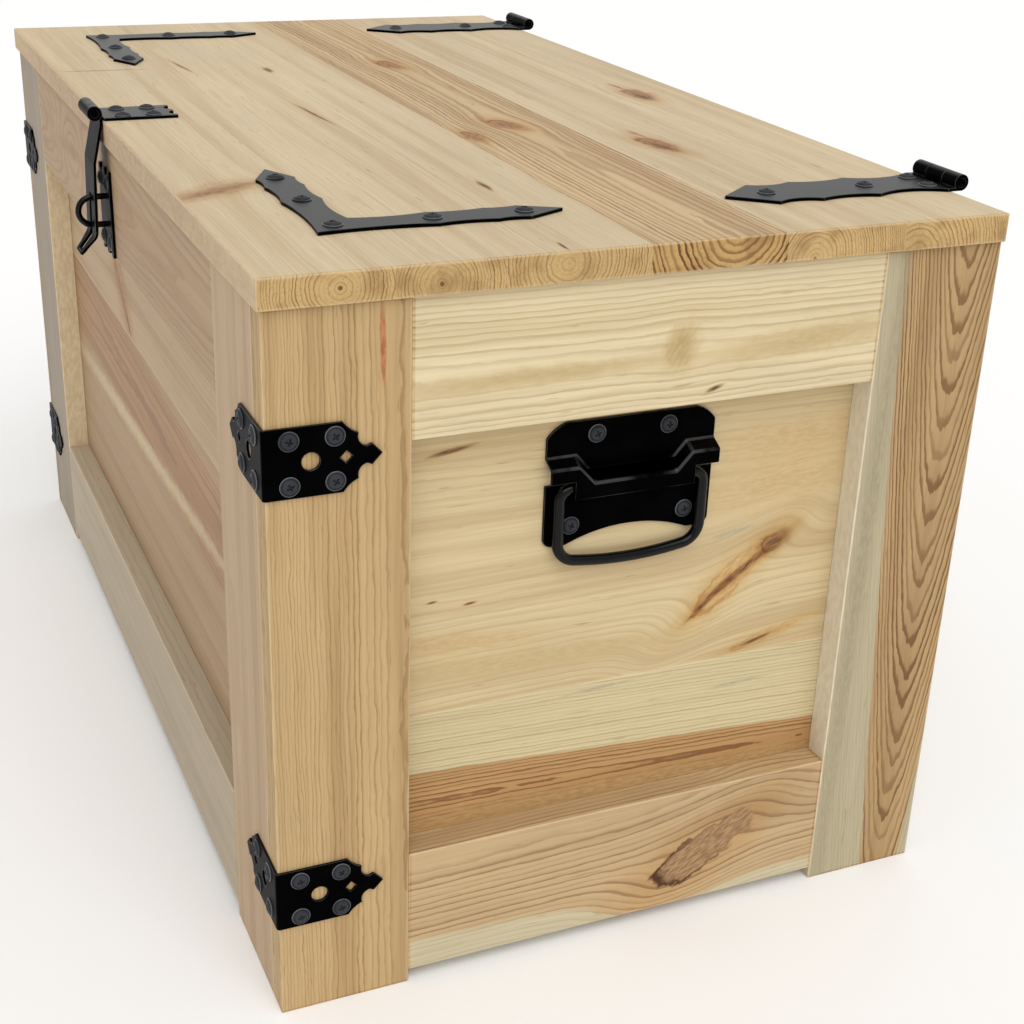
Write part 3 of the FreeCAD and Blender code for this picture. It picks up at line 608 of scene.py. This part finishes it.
def grow_knots(tree, place, to_board, low, high, swells, knots, seed):
    """Coordinates bent by a board's swells and knots, and each knot's masks with its colours."""
    middle = (low + high) / 2
    grown = place
    for spot, half_length, half_width, lift in swells:
        made = use_group(tree, knot_group, {
            "Place": place, "Middle": to_board @ (on_board(low, high, spot) - middle),
            "Half Length": half_length, "Half Width": half_width, "Lift": lift})
        grown = vector_calc(tree, "SUBTRACT", grown, made["Shift"])
    masks = []
    for number, (spot, half_length, half_width, slant, push, soft, colours) in enumerate(knots):
        made = use_group(tree, knot_group, {
            "Place": place, "Middle": to_board @ (on_board(low, high, spot) - middle),
            "Half Length": half_length, "Half Width": half_width, "Slant": math.radians(slant),
            "Push": push, "Softness": soft, "Seed": seed + number})
        grown = vector_calc(tree, "SUBTRACT", grown, made["Shift"])
        masks.append((made, colours))
    return grown, masks


def paint_knots(tree, colour, masks):
    """Lays the stained wood, the core and the rim of each knot over the wood."""
    for made, colours in masks:
        halo, light_core, dark_core, rim = (tint(*colour) for colour in colours)
        colour = blend(tree, made["Halo"], colour, halo, "MULTIPLY")
        colour = blend(tree, made["Core"], colour, blend(tree, made["Fibre"], light_core, dark_core))
        colour = blend(tree, made["Rim"], colour, rim, "MULTIPLY")
    return colour


def pine_board(node, pith, ring=0.003, tightening=0.0, lean=0.0, wander=0.006, taper=0.004, ragged=0.35,
               late_start=0.62, heart=0.0, heart_taper=0.0, softness=0.004, lines=0.7, streaks=0.4,
               pith_mark=1.0, palette="tan", knots=(), swells=(), seed=0.0, along=None, edge_box=None,
               lanes=1):
    """Gives a board its own slice of a tree, with its knots. Lanes are boards side by side in one node."""
    low, high = (Vector(corner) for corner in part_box(node))
    turn, middle, half = board_frame(low, high, along)
    to_board = turn.to_matrix()
    material, tree, shader = new_material("pine " + node)
    place = board_place(tree, turn, middle)
    if lanes > 1:
        place = lane_place(tree, place, half, lanes)
    grown, masks = grow_knots(tree, place, to_board, low, high, swells, knots, seed)
    rings = use_group(tree, rings_group, {
        "Place": grown, "Pith": to_board @ (Vector(pith) - middle), "Lean": lean, "Ring Width": ring,
        "Tightening": tightening, "Wander": wander, "Taper": taper, "Ragged": ragged,
        "Late Start": late_start, "Seed": seed})
    sap_early, sap_late, heart_early, heart_late = (tint(*colour) for colour in PALETTES[palette])
    pine = use_group(tree, pine_group, {
        "Place": grown, "Late": rings["Late"], "Radius": rings["Radius"],
        "Pith Distance": rings["Pith Distance"], "Heart": heart, "Heart Taper": heart_taper,
        "Heart Softness": softness, "Half Length": half.x, "Lines": lines, "Streaks": streaks,
        "Pith Mark": pith_mark, "Seed": seed, "Sap Early": sap_early, "Sap Late": sap_late,
        "Heart Early": heart_early, "Heart Late": heart_late})
    edge_low, edge_high = edge_box or (low, high)
    edge_half = to_board @ ((edge_high - edge_low) / 2)
    colour = use_group(tree, edges_group, {
        "Color": paint_knots(tree, pine["Color"], masks),
        "Place": board_place(tree, turn, (edge_low + edge_high) / 2),
        "Half Size": [abs(value) for value in edge_half]})["Color"]
    feed_all(tree, shader, {"Base Color": colour, "Roughness": pine["Roughness"],
                            "Specular IOR Level": wood_shine})
    add_bump(tree, shader, pine["Height"], wood_relief, wood_relief_depth)
    dress(node, material)


print("pine_board ready")

# %% [markdown]
# ## The right end
# This end faces the camera. Its back stile has grey sapwood along the panel and brown V grain behind it,
# the bottom rail has one large slanted knot, the planks have a brown heart band and a split knot, and the
# top rail is pale with a broad tan band. Each is a choice of where the pith lies and how the cone tapers.

# %% Boards of the right end
# Stained wood around a knot, its light and dark fibres, and its rim
BRANCH = ((244, 230, 208), (174, 139, 100), (138, 104, 72), (118, 88, 62))
SPLIT = ((240, 226, 200), (148, 104, 66), (88, 56, 34), (215, 185, 155))
SPLIT_STAIN = ((246, 236, 216), (206, 170, 116), (184, 144, 92), (230, 208, 180))
BROWN_STAIN = ((250, 243, 230), (200, 166, 114), (182, 142, 90), (240, 225, 205))
RESIN = ((252, 246, 238), (186, 126, 84), (156, 98, 64), (240, 225, 210))
SMUDGE = ((253, 250, 244), (190, 166, 116), (176, 150, 104), (250, 245, 238))
TAN_BAND = ((255, 253, 249), (196, 174, 129), (190, 166, 120), (255, 253, 250))
TAN_CLOUD = ((255, 253, 249), (201, 175, 129), (191, 164, 118), (255, 253, 250))
MINERAL = ((252, 252, 250), (188, 174, 142), (170, 158, 130), (250, 250, 248))
TAN_HEART = ((255, 252, 246), (186, 152, 104), (172, 136, 88), (255, 252, 248))
# Painted light, not stain: lifts the back stile's inner side, which is in shade.
PAINTED_LIGHT_SIDE = ((255, 253, 248), (224, 214, 192), (214, 203, 180), (255, 253, 248))
GREY_STREAK = ((252, 252, 250), (168, 156, 127), (156, 144, 116), (255, 255, 255))
DASH = ((250, 244, 234), (134, 98, 62), (100, 70, 46), (240, 230, 215))

# A knot is its spot, half length, half width, slant in degrees, push, softness and colours
pine_board("right_end_front_stile", pith=(0.413, -0.148, 0.25), ring=0.0055, tightening=9.0,
           wander=0.003, taper=-0.006, lines=0.7, palette="tan", seed=1.3, streaks=0.45, knots=[
    ((-0.1715, 0.4625), 0.020, 0.0016, 0, 0.0, 0.5, RESIN)])
pine_board("right_end_back_stile", pith=(0.423, 0.232, 0.25), ring=0.0023, wander=0.004, taper=-0.095,
           ragged=0.6, late_start=0.52, lines=1.0, heart=0.0415, heart_taper=-0.038, softness=0.0014,
           palette="stain", seed=2.1, streaks=0.3, knots=[
    ((0.1795, 0.27), 0.230, 0.0050, 1, 0.0, 0.95, GREY_STREAK),
    # Not a knot: painted light on the stile's inner side along the panel, which faces away from the key
    # light.
    ((0.1683, 0.25), 0.260, 0.0010, 0, 0.0, 0.5, PAINTED_LIGHT_SIDE)])
pine_board("right_end_top_rail", pith=(0.429, 0.007, 0.434), ring=0.0037, wander=0.004, taper=0.004,
           lines=0.7, palette="cream", seed=3.7, streaks=0.25, knots=[
    ((-0.075, 0.4315), 0.075, 0.0045, 1, 0.0, 0.8, TAN_BAND),
    ((0.118, 0.4355), 0.055, 0.0075, 4, 0.0, 0.8, TAN_BAND),
    ((0.0220, 0.4400), 0.012, 0.009, 60, 0.2, 0.95, SMUDGE),
    ((0.0489, 0.4093), 0.005, 0.0013, 20, 0.6, 0.7, DASH)])
pine_board("right_end_bottom_rail", pith=(0.418, 0.007, 0.102), ring=0.0040, wander=0.004, taper=0.012,
           lines=0.75, heart=0.080, heart_taper=0.050, softness=0.003, palette="honey", seed=4.2,
           streaks=0.3, knots=[
    ((0.0745, 0.0530), 0.043, 0.0138, 30, 0.9, 0.10, BRANCH)])
pine_board("right_end_upper_plank", pith=(0.380, 0.0, 0.45), palette="peach", seed=5.5)
pine_board("right_end_middle_plank", pith=(0.352, 0.007, 0.315), ring=0.0036, wander=0.014, taper=0.004,
           lines=0.38, palette="peach", seed=6.1, streaks=0.5, knots=[
    ((0.0885, 0.2610), 0.036, 0.0085, 41, 0.8, 0.8, SPLIT_STAIN),
    ((0.0938, 0.2640), 0.027, 0.0024, 35, 0.0, 0.8, SPLIT),
    ((0.0680, 0.2435), 0.014, 0.0014, 42, 0.0, 0.7, SPLIT),
    ((0.119, 0.2825), 0.010, 0.0048, 25, 0.3, 0.9, SPLIT),
    ((0.1198, 0.2088), 0.026, 0.0036, 14, 0.5, 0.9, BROWN_STAIN),
    ((0.112, 0.2070), 0.012, 0.0012, 14, 0.0, 0.6, DASH),
    ((-0.1203, 0.3813), 0.013, 0.0014, 10, 0.0, 0.7, DASH),
    ((-0.1060, 0.2744), 0.004, 0.0008, 5, 0.0, 0.6, DASH),
    ((-0.1320, 0.2791), 0.003, 0.0007, 5, 0.0, 0.6, DASH),
    ((-0.060, 0.2250), 0.110, 0.0060, -2, 0.0, 0.9, TAN_BAND),
    ((0.128, 0.3580), 0.050, 0.0120, 3, 0.0, 0.95, TAN_CLOUD),
    ((0.118, 0.3270), 0.050, 0.0120, 5, 0.0, 0.95, TAN_CLOUD),
    ((-0.1200, 0.2465), 0.050, 0.0060, -4, 0.0, 0.9, TAN_CLOUD),
    ((0.0870, 0.2950), 0.016, 0.0016, 8, 0.0, 0.8, MINERAL),
    ((0.1350, 0.1973), 0.055, 0.0006, 0, 0.0, 0.5, DASH)])
pine_board("right_end_lower_plank", pith=(0.421, 0.007, 0.1235), ring=0.0028, lean=-0.036, wander=0.006,
           taper=0.010, ragged=0.6, late_start=0.54, lines=0.95, heart=0.0203, heart_taper=-0.016,
           softness=0.0014, palette="straw", seed=7.9, streaks=0.2, knots=[
    ((0.04, 0.1090), 0.24, 0.0065, -1, 0.0, 0.8, TAN_HEART),
    ((-0.0080, 0.1925), 0.020, 0.0012, 2, 0.0, 0.8, MINERAL),
    ((0.1005, 0.1744), 0.018, 0.0012, 2, 0.0, 0.8, MINERAL)])
print("boards of the right end done")

# %% [markdown]
# ## The lid
# Six boards are glued edge to edge. Their near ends show where each pith lies: inside the first three
# boards, above the fourth, and at or below the underside of the last two. The fourth board is heartwood,
# with strong brown lines.

# %% Boards of the lid
FEATHER = ((250, 241, 230), (182, 150, 114), (160, 126, 92), (244, 232, 216))
RESIN_FEATHER = ((252, 247, 240), (170, 132, 96), (138, 100, 70), (246, 236, 224))
PINK_KNOT = ((246, 232, 214), (168, 132, 100), (134, 100, 72), (226, 200, 174))
# Painted shade, not wood: darkens the lid's front edge like the shaded front.
PAINTED_SHADE_FRONT_EDGE = ((255, 253, 248), (190, 164, 132), (179, 152, 119), (255, 253, 248))
BROWN_KNOT = ((244, 226, 204), (170, 128, 90), (134, 94, 64), (214, 184, 156))

lid_low = Vector(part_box("lid_board_1")[0])
lid_high = Vector(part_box("lid_board_6")[1])
lid_look = dict(palette="lid", edge_box=(lid_low, lid_high), tightening=12.0, taper=0.0)
pine_board("lid_board_1", pith=(0, -0.1975, 0.4987), ring=0.0036, wander=0.010, lines=0.38, seed=11.2,
           **lid_look, knots=[
    ((0.2535, -0.2175), 0.030, 0.0100, -62, 0.3, 0.95, FEATHER),
    ((0.2550, -0.2190), 0.026, 0.0036, -60, 0.0, 0.85, RESIN_FEATHER),
    ((-0.196, -0.205), 0.030, 0.0013, 88, 0.0, 0.8, RESIN_FEATHER),
    # Not a knot: painted shade over the lid's front edge.
    ((0.0, -0.2452, 0.4984), 0.470, 0.0010, 0, 0.0, 0.5, PAINTED_SHADE_FRONT_EDGE)])
pine_board("lid_board_2", pith=(0, -0.1387, 0.4946), ring=0.0036, wander=0.010, lines=0.30, seed=12.6,
           **lid_look, knots=[
    ((-0.200, -0.136), 0.026, 0.0016, 6, 0.0, 0.8, RESIN_FEATHER)])
pine_board("lid_board_3", pith=(0, -0.0595, 0.5010), ring=0.0042, wander=0.012, lines=0.32,
           pith_mark=0.0, seed=13.4, **lid_look, knots=[
    ((0.2880, -0.0456), 0.012, 0.0018, 0, 0.0, 0.6, DASH),
    ((-0.1674, -0.0662), 0.010, 0.0026, 0, 0.2, 0.8, DASH),
    ((0.0320, -0.0845), 0.032, 0.0012, 5, 0.0, 0.8, DASH),
    ((0.4380, -0.0578), 0.0075, 0.0011, 0, 0.0, 0.5, DASH)])
pine_board("lid_board_4", pith=(0, 0.0537, 0.5160), ring=0.0056, wander=0.016, late_start=0.5, lines=0.8,
           heart=0.2, seed=14.8, **(lid_look | {"tightening": 4.0}), knots=[
    ((0.1078, 0.0479), 0.020, 0.009, 15, 0.7, 0.7, BROWN_KNOT),
    ((0.1412, 0.0060), 0.016, 0.006, 0, 0.6, 0.8, BROWN_KNOT),
    ((-0.1687, 0.0487), 0.020, 0.008, 10, 0.7, 0.7, BROWN_KNOT)])
pine_board("lid_board_5", pith=(0, 0.1088, 0.4894), ring=0.0038, wander=0.012, lines=0.32, seed=15.1,
           **lid_look, knots=[
    ((0.2037, 0.130), 0.024, 0.008, 10, 0.6, 0.6, BROWN_KNOT),
    ((0.2100, 0.1290), 0.011, 0.0030, 14, 0.0, 0.8, DASH),
    ((0.1640, 0.1310), 0.012, 0.0014, 4, 0.0, 0.7, RESIN_FEATHER)])
pine_board("lid_board_6", pith=(0, 0.1869, 0.4870), ring=0.0052, wander=0.012, lines=0.36, seed=16.3,
           **lid_look, knots=[
    ((0.019, 0.2086), 0.022, 0.010, 0, 0.6, 0.55, PINK_KNOT),
    ((0.028, 0.2070), 0.010, 0.0032, 8, 0.0, 0.8, DASH),
    ((-0.022, 0.2060), 0.012, 0.0016, 4, 0.0, 0.7, RESIN_FEATHER)])
print("boards of the lid done")

# %% [markdown]
# ## The front
# The front is a quieter face, rosy and fine in its grain, and its boards are also painted darker as
# painted shade, for the front faces away from the key light. The rings of its top rail rise over a hidden
# branch, the upper plank has one long slanted knot under the hasp, and the middle plank has a band of
# darker heartwood above a pale streak. The bottom rail is greyer, and the far stile is ash grey with a
# yellow side.

# %% Boards of the front
PALE_STREAK = ((255, 255, 255), (204, 184, 148), (196, 174, 138), (255, 255, 255))
YELLOW_SIDE = ((255, 253, 248), (219, 202, 167), (206, 186, 150), (255, 253, 248))

# A swell is its spot, half length, half width and lift
pine_board("front_right_stile", pith=(0.36, -0.150, 0.25), ring=0.0040, lines=0.35, palette="rose",
           seed=17.2)
pine_board("front_left_stile", pith=(-0.36, -0.160, 0.25), ring=0.0036, lines=0.5, palette="ash",
           seed=17.9, knots=[
    ((-0.334, 0.25), 0.260, 0.0012, 0, 0.0, 0.5, YELLOW_SIDE)])
pine_board("front_top_rail", pith=(0.0, -0.205, 0.450), ring=0.0042, taper=0.03, wander=0.012,
           lines=0.60, palette="russet", seed=18.4,
           swells=[((-0.165, 0.447), 0.045, 0.0145, 0.030)])
pine_board("front_bottom_rail", pith=(0.0, -0.170, 0.030), ring=0.0040, lines=0.4, palette="grey",
           seed=18.8)
pine_board("front_upper_plank", pith=(0.0, -0.160, 0.420), ring=0.0040, wander=0.012, lines=0.32,
           palette="rose", seed=19.3, knots=[
    ((-0.0815, 0.3425), 0.036, 0.0150, 46, 0.3, 0.95, FEATHER),
    ((-0.0840, 0.3420), 0.034, 0.0040, 44, 0.0, 0.85, RESIN_FEATHER),
    ((-0.0620, 0.3215), 0.010, 0.0018, 44, 0.0, 0.6, DASH)])
pine_board("front_middle_plank", pith=(0.0, -0.190, 0.265), ring=0.0042, wander=0.010, lean=0.04,
           lines=0.75, heart=0.052, softness=0.004, palette="russet", seed=19.7, knots=[
    ((-0.05, 0.2240), 0.330, 0.0070, -2.5, 0.0, 0.85, PALE_STREAK)])
pine_board("front_lower_plank", pith=(0.0, -0.160, 0.060), palette="russet", lines=0.45, seed=20.1)
print("boards of the front done")

# %% [markdown]
# ## The other boards
# The back, the left end and the inside take their boards from the same pile. Each gets a pith at a chance
# place behind or beside it, from a seeded dice, so that no two boards match and every run is the same.
# The left end's front stile takes the same ash palette as the front stile that it meets, with its painted
# shade.

# %% Boards of the back, left end and inside
pile_seed = 20.0
pile_step = 1.7
inside_seed = 60.0
inside_pith = Vector((0.02, 0.02, 0.03))

pile = random.Random(19)
wooden = [node for node in sorted(nodes) if node.startswith(("back_", "left_end_"))]
for number, node in enumerate(wooden):
    low, high = (Vector(corner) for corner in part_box(node))
    turn, middle, half = board_frame(low, high)
    across = pile.uniform(-0.6, 0.6) * half.y
    through = pile.choice((-1, 1)) * pile.uniform(0.015, 0.06)
    pith = middle + turn.to_matrix().transposed() @ Vector((0, across, through))
    look = dict(ring=pile.uniform(0.0028, 0.0040), wander=pile.uniform(0.005, 0.012),
                taper=pile.uniform(-0.02, 0.02), heart=pile.choice((0.0, 0.03, 0.05)),
                lines=pile.uniform(0.5, 0.75), palette=pile.choice(("tan", "cream", "peach", "honey")))
    if node == "left_end_front_stile":
        # The ash palette carries the front's painted shade.
        look["palette"] = "ash"
    pine_board(node, pith, seed=pile_seed + pile_step * number, **look)

inside = (("floor_boards", "x", 4), ("floor_cleats", "x", 2), ("lid_battens", "y", 3))
for number, (node, axis, lanes) in enumerate(inside):
    low, high = (Vector(corner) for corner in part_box(node))
    pine_board(node, (low + high) / 2 + inside_pith, ring=0.0032, wander=0.012, palette="inside",
               seed=inside_seed + number, along=axis, lanes=lanes)

pine_nodes = [node for node, piece in nodes.items()
              if piece.data.materials and piece.data.materials[0].name.startswith("pine ")]
print("wood on", len(pine_nodes), "nodes")

# %% [markdown]
# ## Black iron
# The fittings are folded sheet with a satin black coat. Seen square on, the coat is almost black. At a
# low angle it mirrors the white room and turns grey, and on faces that look up a painted sheen adds to it,
# for the reflection of a brighter ceiling, so a second coat grows with the angle and with the upward look.
# Along folds and cut edges the coat is rubbed and shinier, and lighter: partly wear, partly a painted
# highlight; a face attribute says where. The round bars of the handles and the staple are worn smooth by
# hands and shine a little more. The screws have a duller, greyer finish.

# %% Black coat and dark screws
patch_blobs = (35.0, 35.0, 35.0)
peel_blobs = (1400.0, 1400.0, 1400.0)
peel_depth = 0.0002
patch_roughness = 0.16
# Share of the low-angle coat on every face; the rest is a painted sheen on faces that look up.
sheen_everywhere = 0.14
coat_roughness = 0.3


def coated_iron(name, dark, dusty, bare_and_highlight, shine, coat, roughness, peel):
    """A satin coat with a fine peel, dusty patches, a painted sheen where faces look up, and rubbed edges
    that are lighter, partly as wear and partly as a painted highlight.
    """
    material, tree, shader = new_material(name)
    coordinates = add(tree, "TexCoord").outputs
    patches = noise(tree, coordinates["Object"], patch_blobs, 4.0)[0]
    # Faces marked rubbed get a lighter colour and more coat: partly wear, partly a painted highlight.
    edge_marks = add(tree, "Attribute")
    edge_marks.attribute_name = "rubbed_and_highlight"
    rubbed_and_highlight = times(tree, edge_marks.outputs["Fac"], ramp(tree, patches, 0.30, 0.55))
    colour = blend(tree, ramp(tree, patches, 0.35, 0.8), dark, dusty)
    slant = add(tree, "LayerWeight")
    slant.inputs["Blend"].default_value = 0.5
    # Painted sheen: more low-angle coat on faces that look up, for the reflection of a brighter ceiling.
    upward = ramp(tree, parts_of(tree, coordinates["Normal"])["Z"], 0.6, 0.95)
    upward_sheen = plus(tree, sheen_everywhere * coat, times(tree, upward, (1 - sheen_everywhere) * coat))
    low_angle = times(tree, ramp(tree, slant.outputs["Facing"], 0.22, 0.62), upward_sheen)
    feed_all(tree, shader, {
        "Base Color": blend(tree, rubbed_and_highlight, colour, bare_and_highlight), "Specular IOR Level": shine,
        "Roughness": plus(tree, roughness, times(tree, patches, patch_roughness)),
        "Coat Weight": calc(tree, "MAXIMUM", low_angle, rubbed_and_highlight), "Coat Roughness": coat_roughness})
    add_bump(tree, shader, noise(tree, coordinates["Object"], peel_blobs, 2.0)[0], peel, peel_depth)
    return material


black_coat = coated_iron("satin black iron", tint(2, 2, 3), tint(6, 6, 7), tint(26, 26, 28),
                         shine=0.006, coat=0.80, roughness=0.32, peel=0.15)
screw_coat = coated_iron("dark grey screws", tint(46, 48, 52), tint(58, 60, 64), tint(90, 92, 96),
                         shine=0.12, coat=0.10, roughness=0.38, peel=0.10)
bar_coat = coated_iron("smooth black bars", tint(3, 3, 4), tint(8, 8, 9), tint(26, 26, 28),
                       shine=0.20, coat=0.20, roughness=0.04, peel=0.05)
iron_nodes = [node for node in nodes if node not in pine_nodes]
for node in iron_nodes:
    coat = bar_coat if node.endswith(("bail", "staple")) else black_coat
    dress(node, screw_coat if node.endswith("screws") else coat)
print("iron on", len(iron_nodes), "nodes")

# %% [markdown]
# ## Folded sheet with soft edges
# Sheet iron is sheared and punched, which leaves slightly rounded rims, and folded cold, which leaves
# rounder bends. The imported fittings have both sharp. Each is copied, its triangles are joined, its flat
# faces merged, and a Bevel modifier rounds every edge by its own weight. Only the handle plates have open
# folds, between two faces that both look outwards. The faces that the modifier makes are remembered as
# rubbed, and are drawn lighter and shinier: partly worn coat, partly a painted highlight on the bends.

# %% Rounded copies of the fittings
cut_edge_round = 0.0004
fold_round = 0.0014
weld_distance = 0.00001
flat_angle = math.radians(1)
sharp_angle = math.radians(28)
smooth_angle = math.radians(40)
outward_share = 0.3


def select_only(piece):
    """Makes one object the selected and active one."""
    bpy.ops.object.select_all(action="DESELECT")
    bpy.context.view_layer.objects.active = piece
    piece.select_set(True)


def joined_copy(node, name):
    """A new object with a copy of a CAD node's mesh, its loose triangles joined."""
    piece = bpy.data.objects.new(name, nodes[node].data.copy())
    bpy.context.collection.objects.link(piece)
    select_only(piece)
    bpy.ops.mesh.customdata_custom_splitnormals_clear()
    bpy.ops.object.mode_set(mode="EDIT")
    bpy.ops.mesh.select_all(action="SELECT")
    bpy.ops.mesh.remove_doubles(threshold=weld_distance)
    bpy.ops.object.mode_set(mode="OBJECT")
    return piece


def stand_for(piece, node):
    """Puts a finished piece in a CAD node's place."""
    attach(piece, nodes[node]["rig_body"])
    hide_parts(node)


def weigh_edges(mesh, folded):
    """Gives folds the weight 1 and cut edges a small one."""
    shape = bmesh.new()
    shape.from_mesh(mesh)
    weight = shape.edges.layers.float.new("bevel_weight_edge")
    for edge in shape.edges:
        if len(edge.link_faces) == 2 and edge.calc_face_angle() > sharp_angle:
            is_fold = folded and all(abs(face.normal.x) > outward_share for face in edge.link_faces)
            edge[weight] = 1.0 if is_fold else cut_edge_round / fold_round
    shape.to_mesh(mesh)
    shape.free()


def rounded_fitting(node):
    """A copy of a fitting with rounded folds and rims."""
    piece = joined_copy(node, node + "_rounded")
    bpy.ops.object.mode_set(mode="EDIT")
    bpy.ops.mesh.dissolve_limited(angle_limit=flat_angle)
    bpy.ops.object.mode_set(mode="OBJECT")
    mesh = piece.data
    weigh_edges(mesh, folded=node.endswith("handle_plate"))
    mesh.materials.append(black_coat)
    bevel = piece.modifiers.new("soft edges", "BEVEL")
    bevel.limit_method = "WEIGHT"
    bevel.width = fold_round
    bevel.segments = 3
    bevel.use_clamp_overlap = False
    bevel.material = 1
    bpy.ops.object.modifier_apply(modifier="soft edges")
    # The bevel faces are marked rubbed: worn coat, and lighter as a painted highlight.
    rubbed_and_highlight = mesh.attributes.new("rubbed_and_highlight", "FLOAT", "FACE")
    for face in mesh.polygons:
        rubbed_and_highlight.data[face.index].value = face.material_index
        face.material_index = 0
    mesh.materials.pop(index=1)
    bpy.ops.object.shade_smooth_by_angle(angle=smooth_angle)
    even = piece.modifiers.new("even shading", "WEIGHTED_NORMAL")
    even.keep_sharp = True
    bpy.ops.object.modifier_apply(modifier="even shading")
    stand_for(piece, node)
    return piece


fittings = [rounded_fitting(node) for node in iron_nodes
            if not node.endswith(("screws", "pin", "pins"))]
print("rounded", len(fittings), "fittings,", sum(len(piece.data.polygons) for piece in fittings), "faces")

# %% [markdown]
# ## Screws
# One kind of screw holds all the iron: a wide thin flange, a low dome and a cross recess. One is
# modelled, ring by ring from its tip up, and its cross is cut by two wedge-shaped slots. It is then
# copied to every seat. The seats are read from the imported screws: each loose part is one screw, long
# along its axis, and wide at the head. Nobody lines up crosses, so each screw is turned by a seeded dice.

# %% One screw
screw_sides = 28
shank_radius = 0.0020
shank_length = 0.0150
tip_length = 0.0020
head_radius = 0.0062
flange = 0.0009
rim_round = 0.0002
rim_slope = 0.0003
dome_radius = 0.0049
dome_height = 0.0025
dome_shares = (0.90, 0.78, 0.55, 0.28)
groove = 0.0004
recess_width = 0.0019
recess_length = 0.0072
recess_depth = 0.0016
recess_foot = 0.45
# Width of the flange rim marked rubbed: worn, and lighter as a painted highlight.
rim_rubbed_and_highlight = 0.0004
screw_smooth_angle = math.radians(38)

profile = [(shank_radius, tip_length - shank_length), (shank_radius, 0.0), (head_radius - rim_round, 0.0),
           (head_radius, rim_round), (head_radius, flange - rim_round), (head_radius - rim_slope, flange),
           (dome_radius + groove, flange), (dome_radius + groove / 3, flange - groove),
           (dome_radius, flange - groove), (dome_radius - groove / 4, flange)]
for share in dome_shares:
    profile.append((dome_radius * share, flange + (dome_height - flange) * math.sqrt(1 - share ** 2)))

radius = shank_radius / 3
height = -shank_length
bpy.ops.object.select_all(action="DESELECT")
bpy.ops.mesh.primitive_circle_add(vertices=screw_sides, radius=radius, fill_type="NGON",
                                  location=(0, 0, height))
screw = bpy.context.object
bpy.ops.object.transform_apply(location=True, rotation=True, scale=True)
bpy.ops.object.mode_set(mode="EDIT")
bpy.ops.mesh.select_all(action="SELECT")
for next_radius, next_height in profile:
    bpy.ops.mesh.extrude_region_move(TRANSFORM_OT_translate={"value": (0, 0, next_height - height)})
    growth = next_radius / radius
    bpy.ops.transform.resize(value=(growth, growth, 1), center_override=(0, 0, next_height))
    radius, height = next_radius, next_height
bpy.ops.mesh.select_all(action="SELECT")
bpy.ops.mesh.normals_make_consistent(inside=False)
bpy.ops.object.mode_set(mode="OBJECT")

for quarter in (0, 1):
    bpy.ops.object.select_all(action="DESELECT")
    bpy.ops.mesh.primitive_cube_add(size=1, location=(0, 0, dome_height),
                                    rotation=(0, 0, math.radians(90 * quarter)))
    slot_cutter = bpy.context.object
    slot_cutter.scale = (recess_length, recess_width, 2 * recess_depth)
    bpy.ops.object.transform_apply(location=True, rotation=True, scale=True)
    for corner in slot_cutter.data.vertices:
        if corner.co.z < dome_height:
            corner.co.x *= recess_foot
            corner.co.y *= recess_foot
    recess = screw.modifiers.new("recess", "BOOLEAN")
    recess.object = slot_cutter
    recess.operation = "DIFFERENCE"
    recess.solver = "EXACT"
    select_only(screw)
    bpy.ops.object.modifier_apply(modifier="recess")
    bpy.data.objects.remove(slot_cutter)
bpy.ops.object.shade_smooth_by_angle(angle=screw_smooth_angle)
# The flange's outer rim is marked rubbed, so it is lighter and shinier: partly wear, partly a painted
# highlight.
rim = screw.data.attributes.new("rubbed_and_highlight", "FLOAT", "FACE")
for face in screw.data.polygons:
    rim.data[face.index].value = float(face.center.xy.length > head_radius - rim_rubbed_and_highlight)
screw.data.materials.clear()
screw.data.materials.append(screw_coat)
print("screw", len(screw.data.polygons), "faces, top at", max(v.co.z for v in screw.data.vertices))

# %% Screws in their seats
beyond_shank = 0.005


def screw_seats(node):
    """Where each screw of a CAD node sits, and which way its head looks."""
    joined_copy(node, "seats")
    bpy.ops.mesh.separate(type="LOOSE")
    seats = []
    for loose in list(bpy.context.selected_objects):
        points = [vertex.co for vertex in loose.data.vertices]
        low = Vector([min(point[axis] for point in points) for axis in range(3)])
        high = Vector([max(point[axis] for point in points) for axis in range(3)])
        axis = max(range(3), key=lambda a: high[a] - low[a])
        middle = (low + high) / 2
        wide = [point for point in points if abs(point[axis - 1] - middle[axis - 1]) > beyond_shank]
        outwards = Vector((0, 0, 0))
        outwards[axis] = 1.0 if wide[0][axis] > middle[axis] else -1.0
        reach = (high[axis] - low[axis]) / 2 - dome_height
        seats.append((tuple(middle + reach * outwards), outwards))
        bpy.data.objects.remove(loose)
    return sorted(seats, key=lambda seat: seat[0])


screw_turns = random.Random(7)
for node in ("bracket_screws", "case_screws", "lid_screws"):
    copies = []
    for place, outwards in screw_seats(node):
        one = bpy.data.objects.new(node + "_modelled", screw.data.copy())
        bpy.context.collection.objects.link(one)
        turned = outwards.to_track_quat("Z", "Y").to_matrix().to_4x4()
        turned = turned @ Matrix.Rotation(screw_turns.uniform(0, math.pi / 2), 4, "Z")
        one.data.transform(Matrix.Translation(place) @ turned)
        copies.append(one)
    select_only(copies[0])
    for one in copies:
        one.select_set(True)
    bpy.ops.object.join()
    stand_for(copies[0], node)
    print(node, len(copies), "screws")
bpy.data.objects.remove(screw)
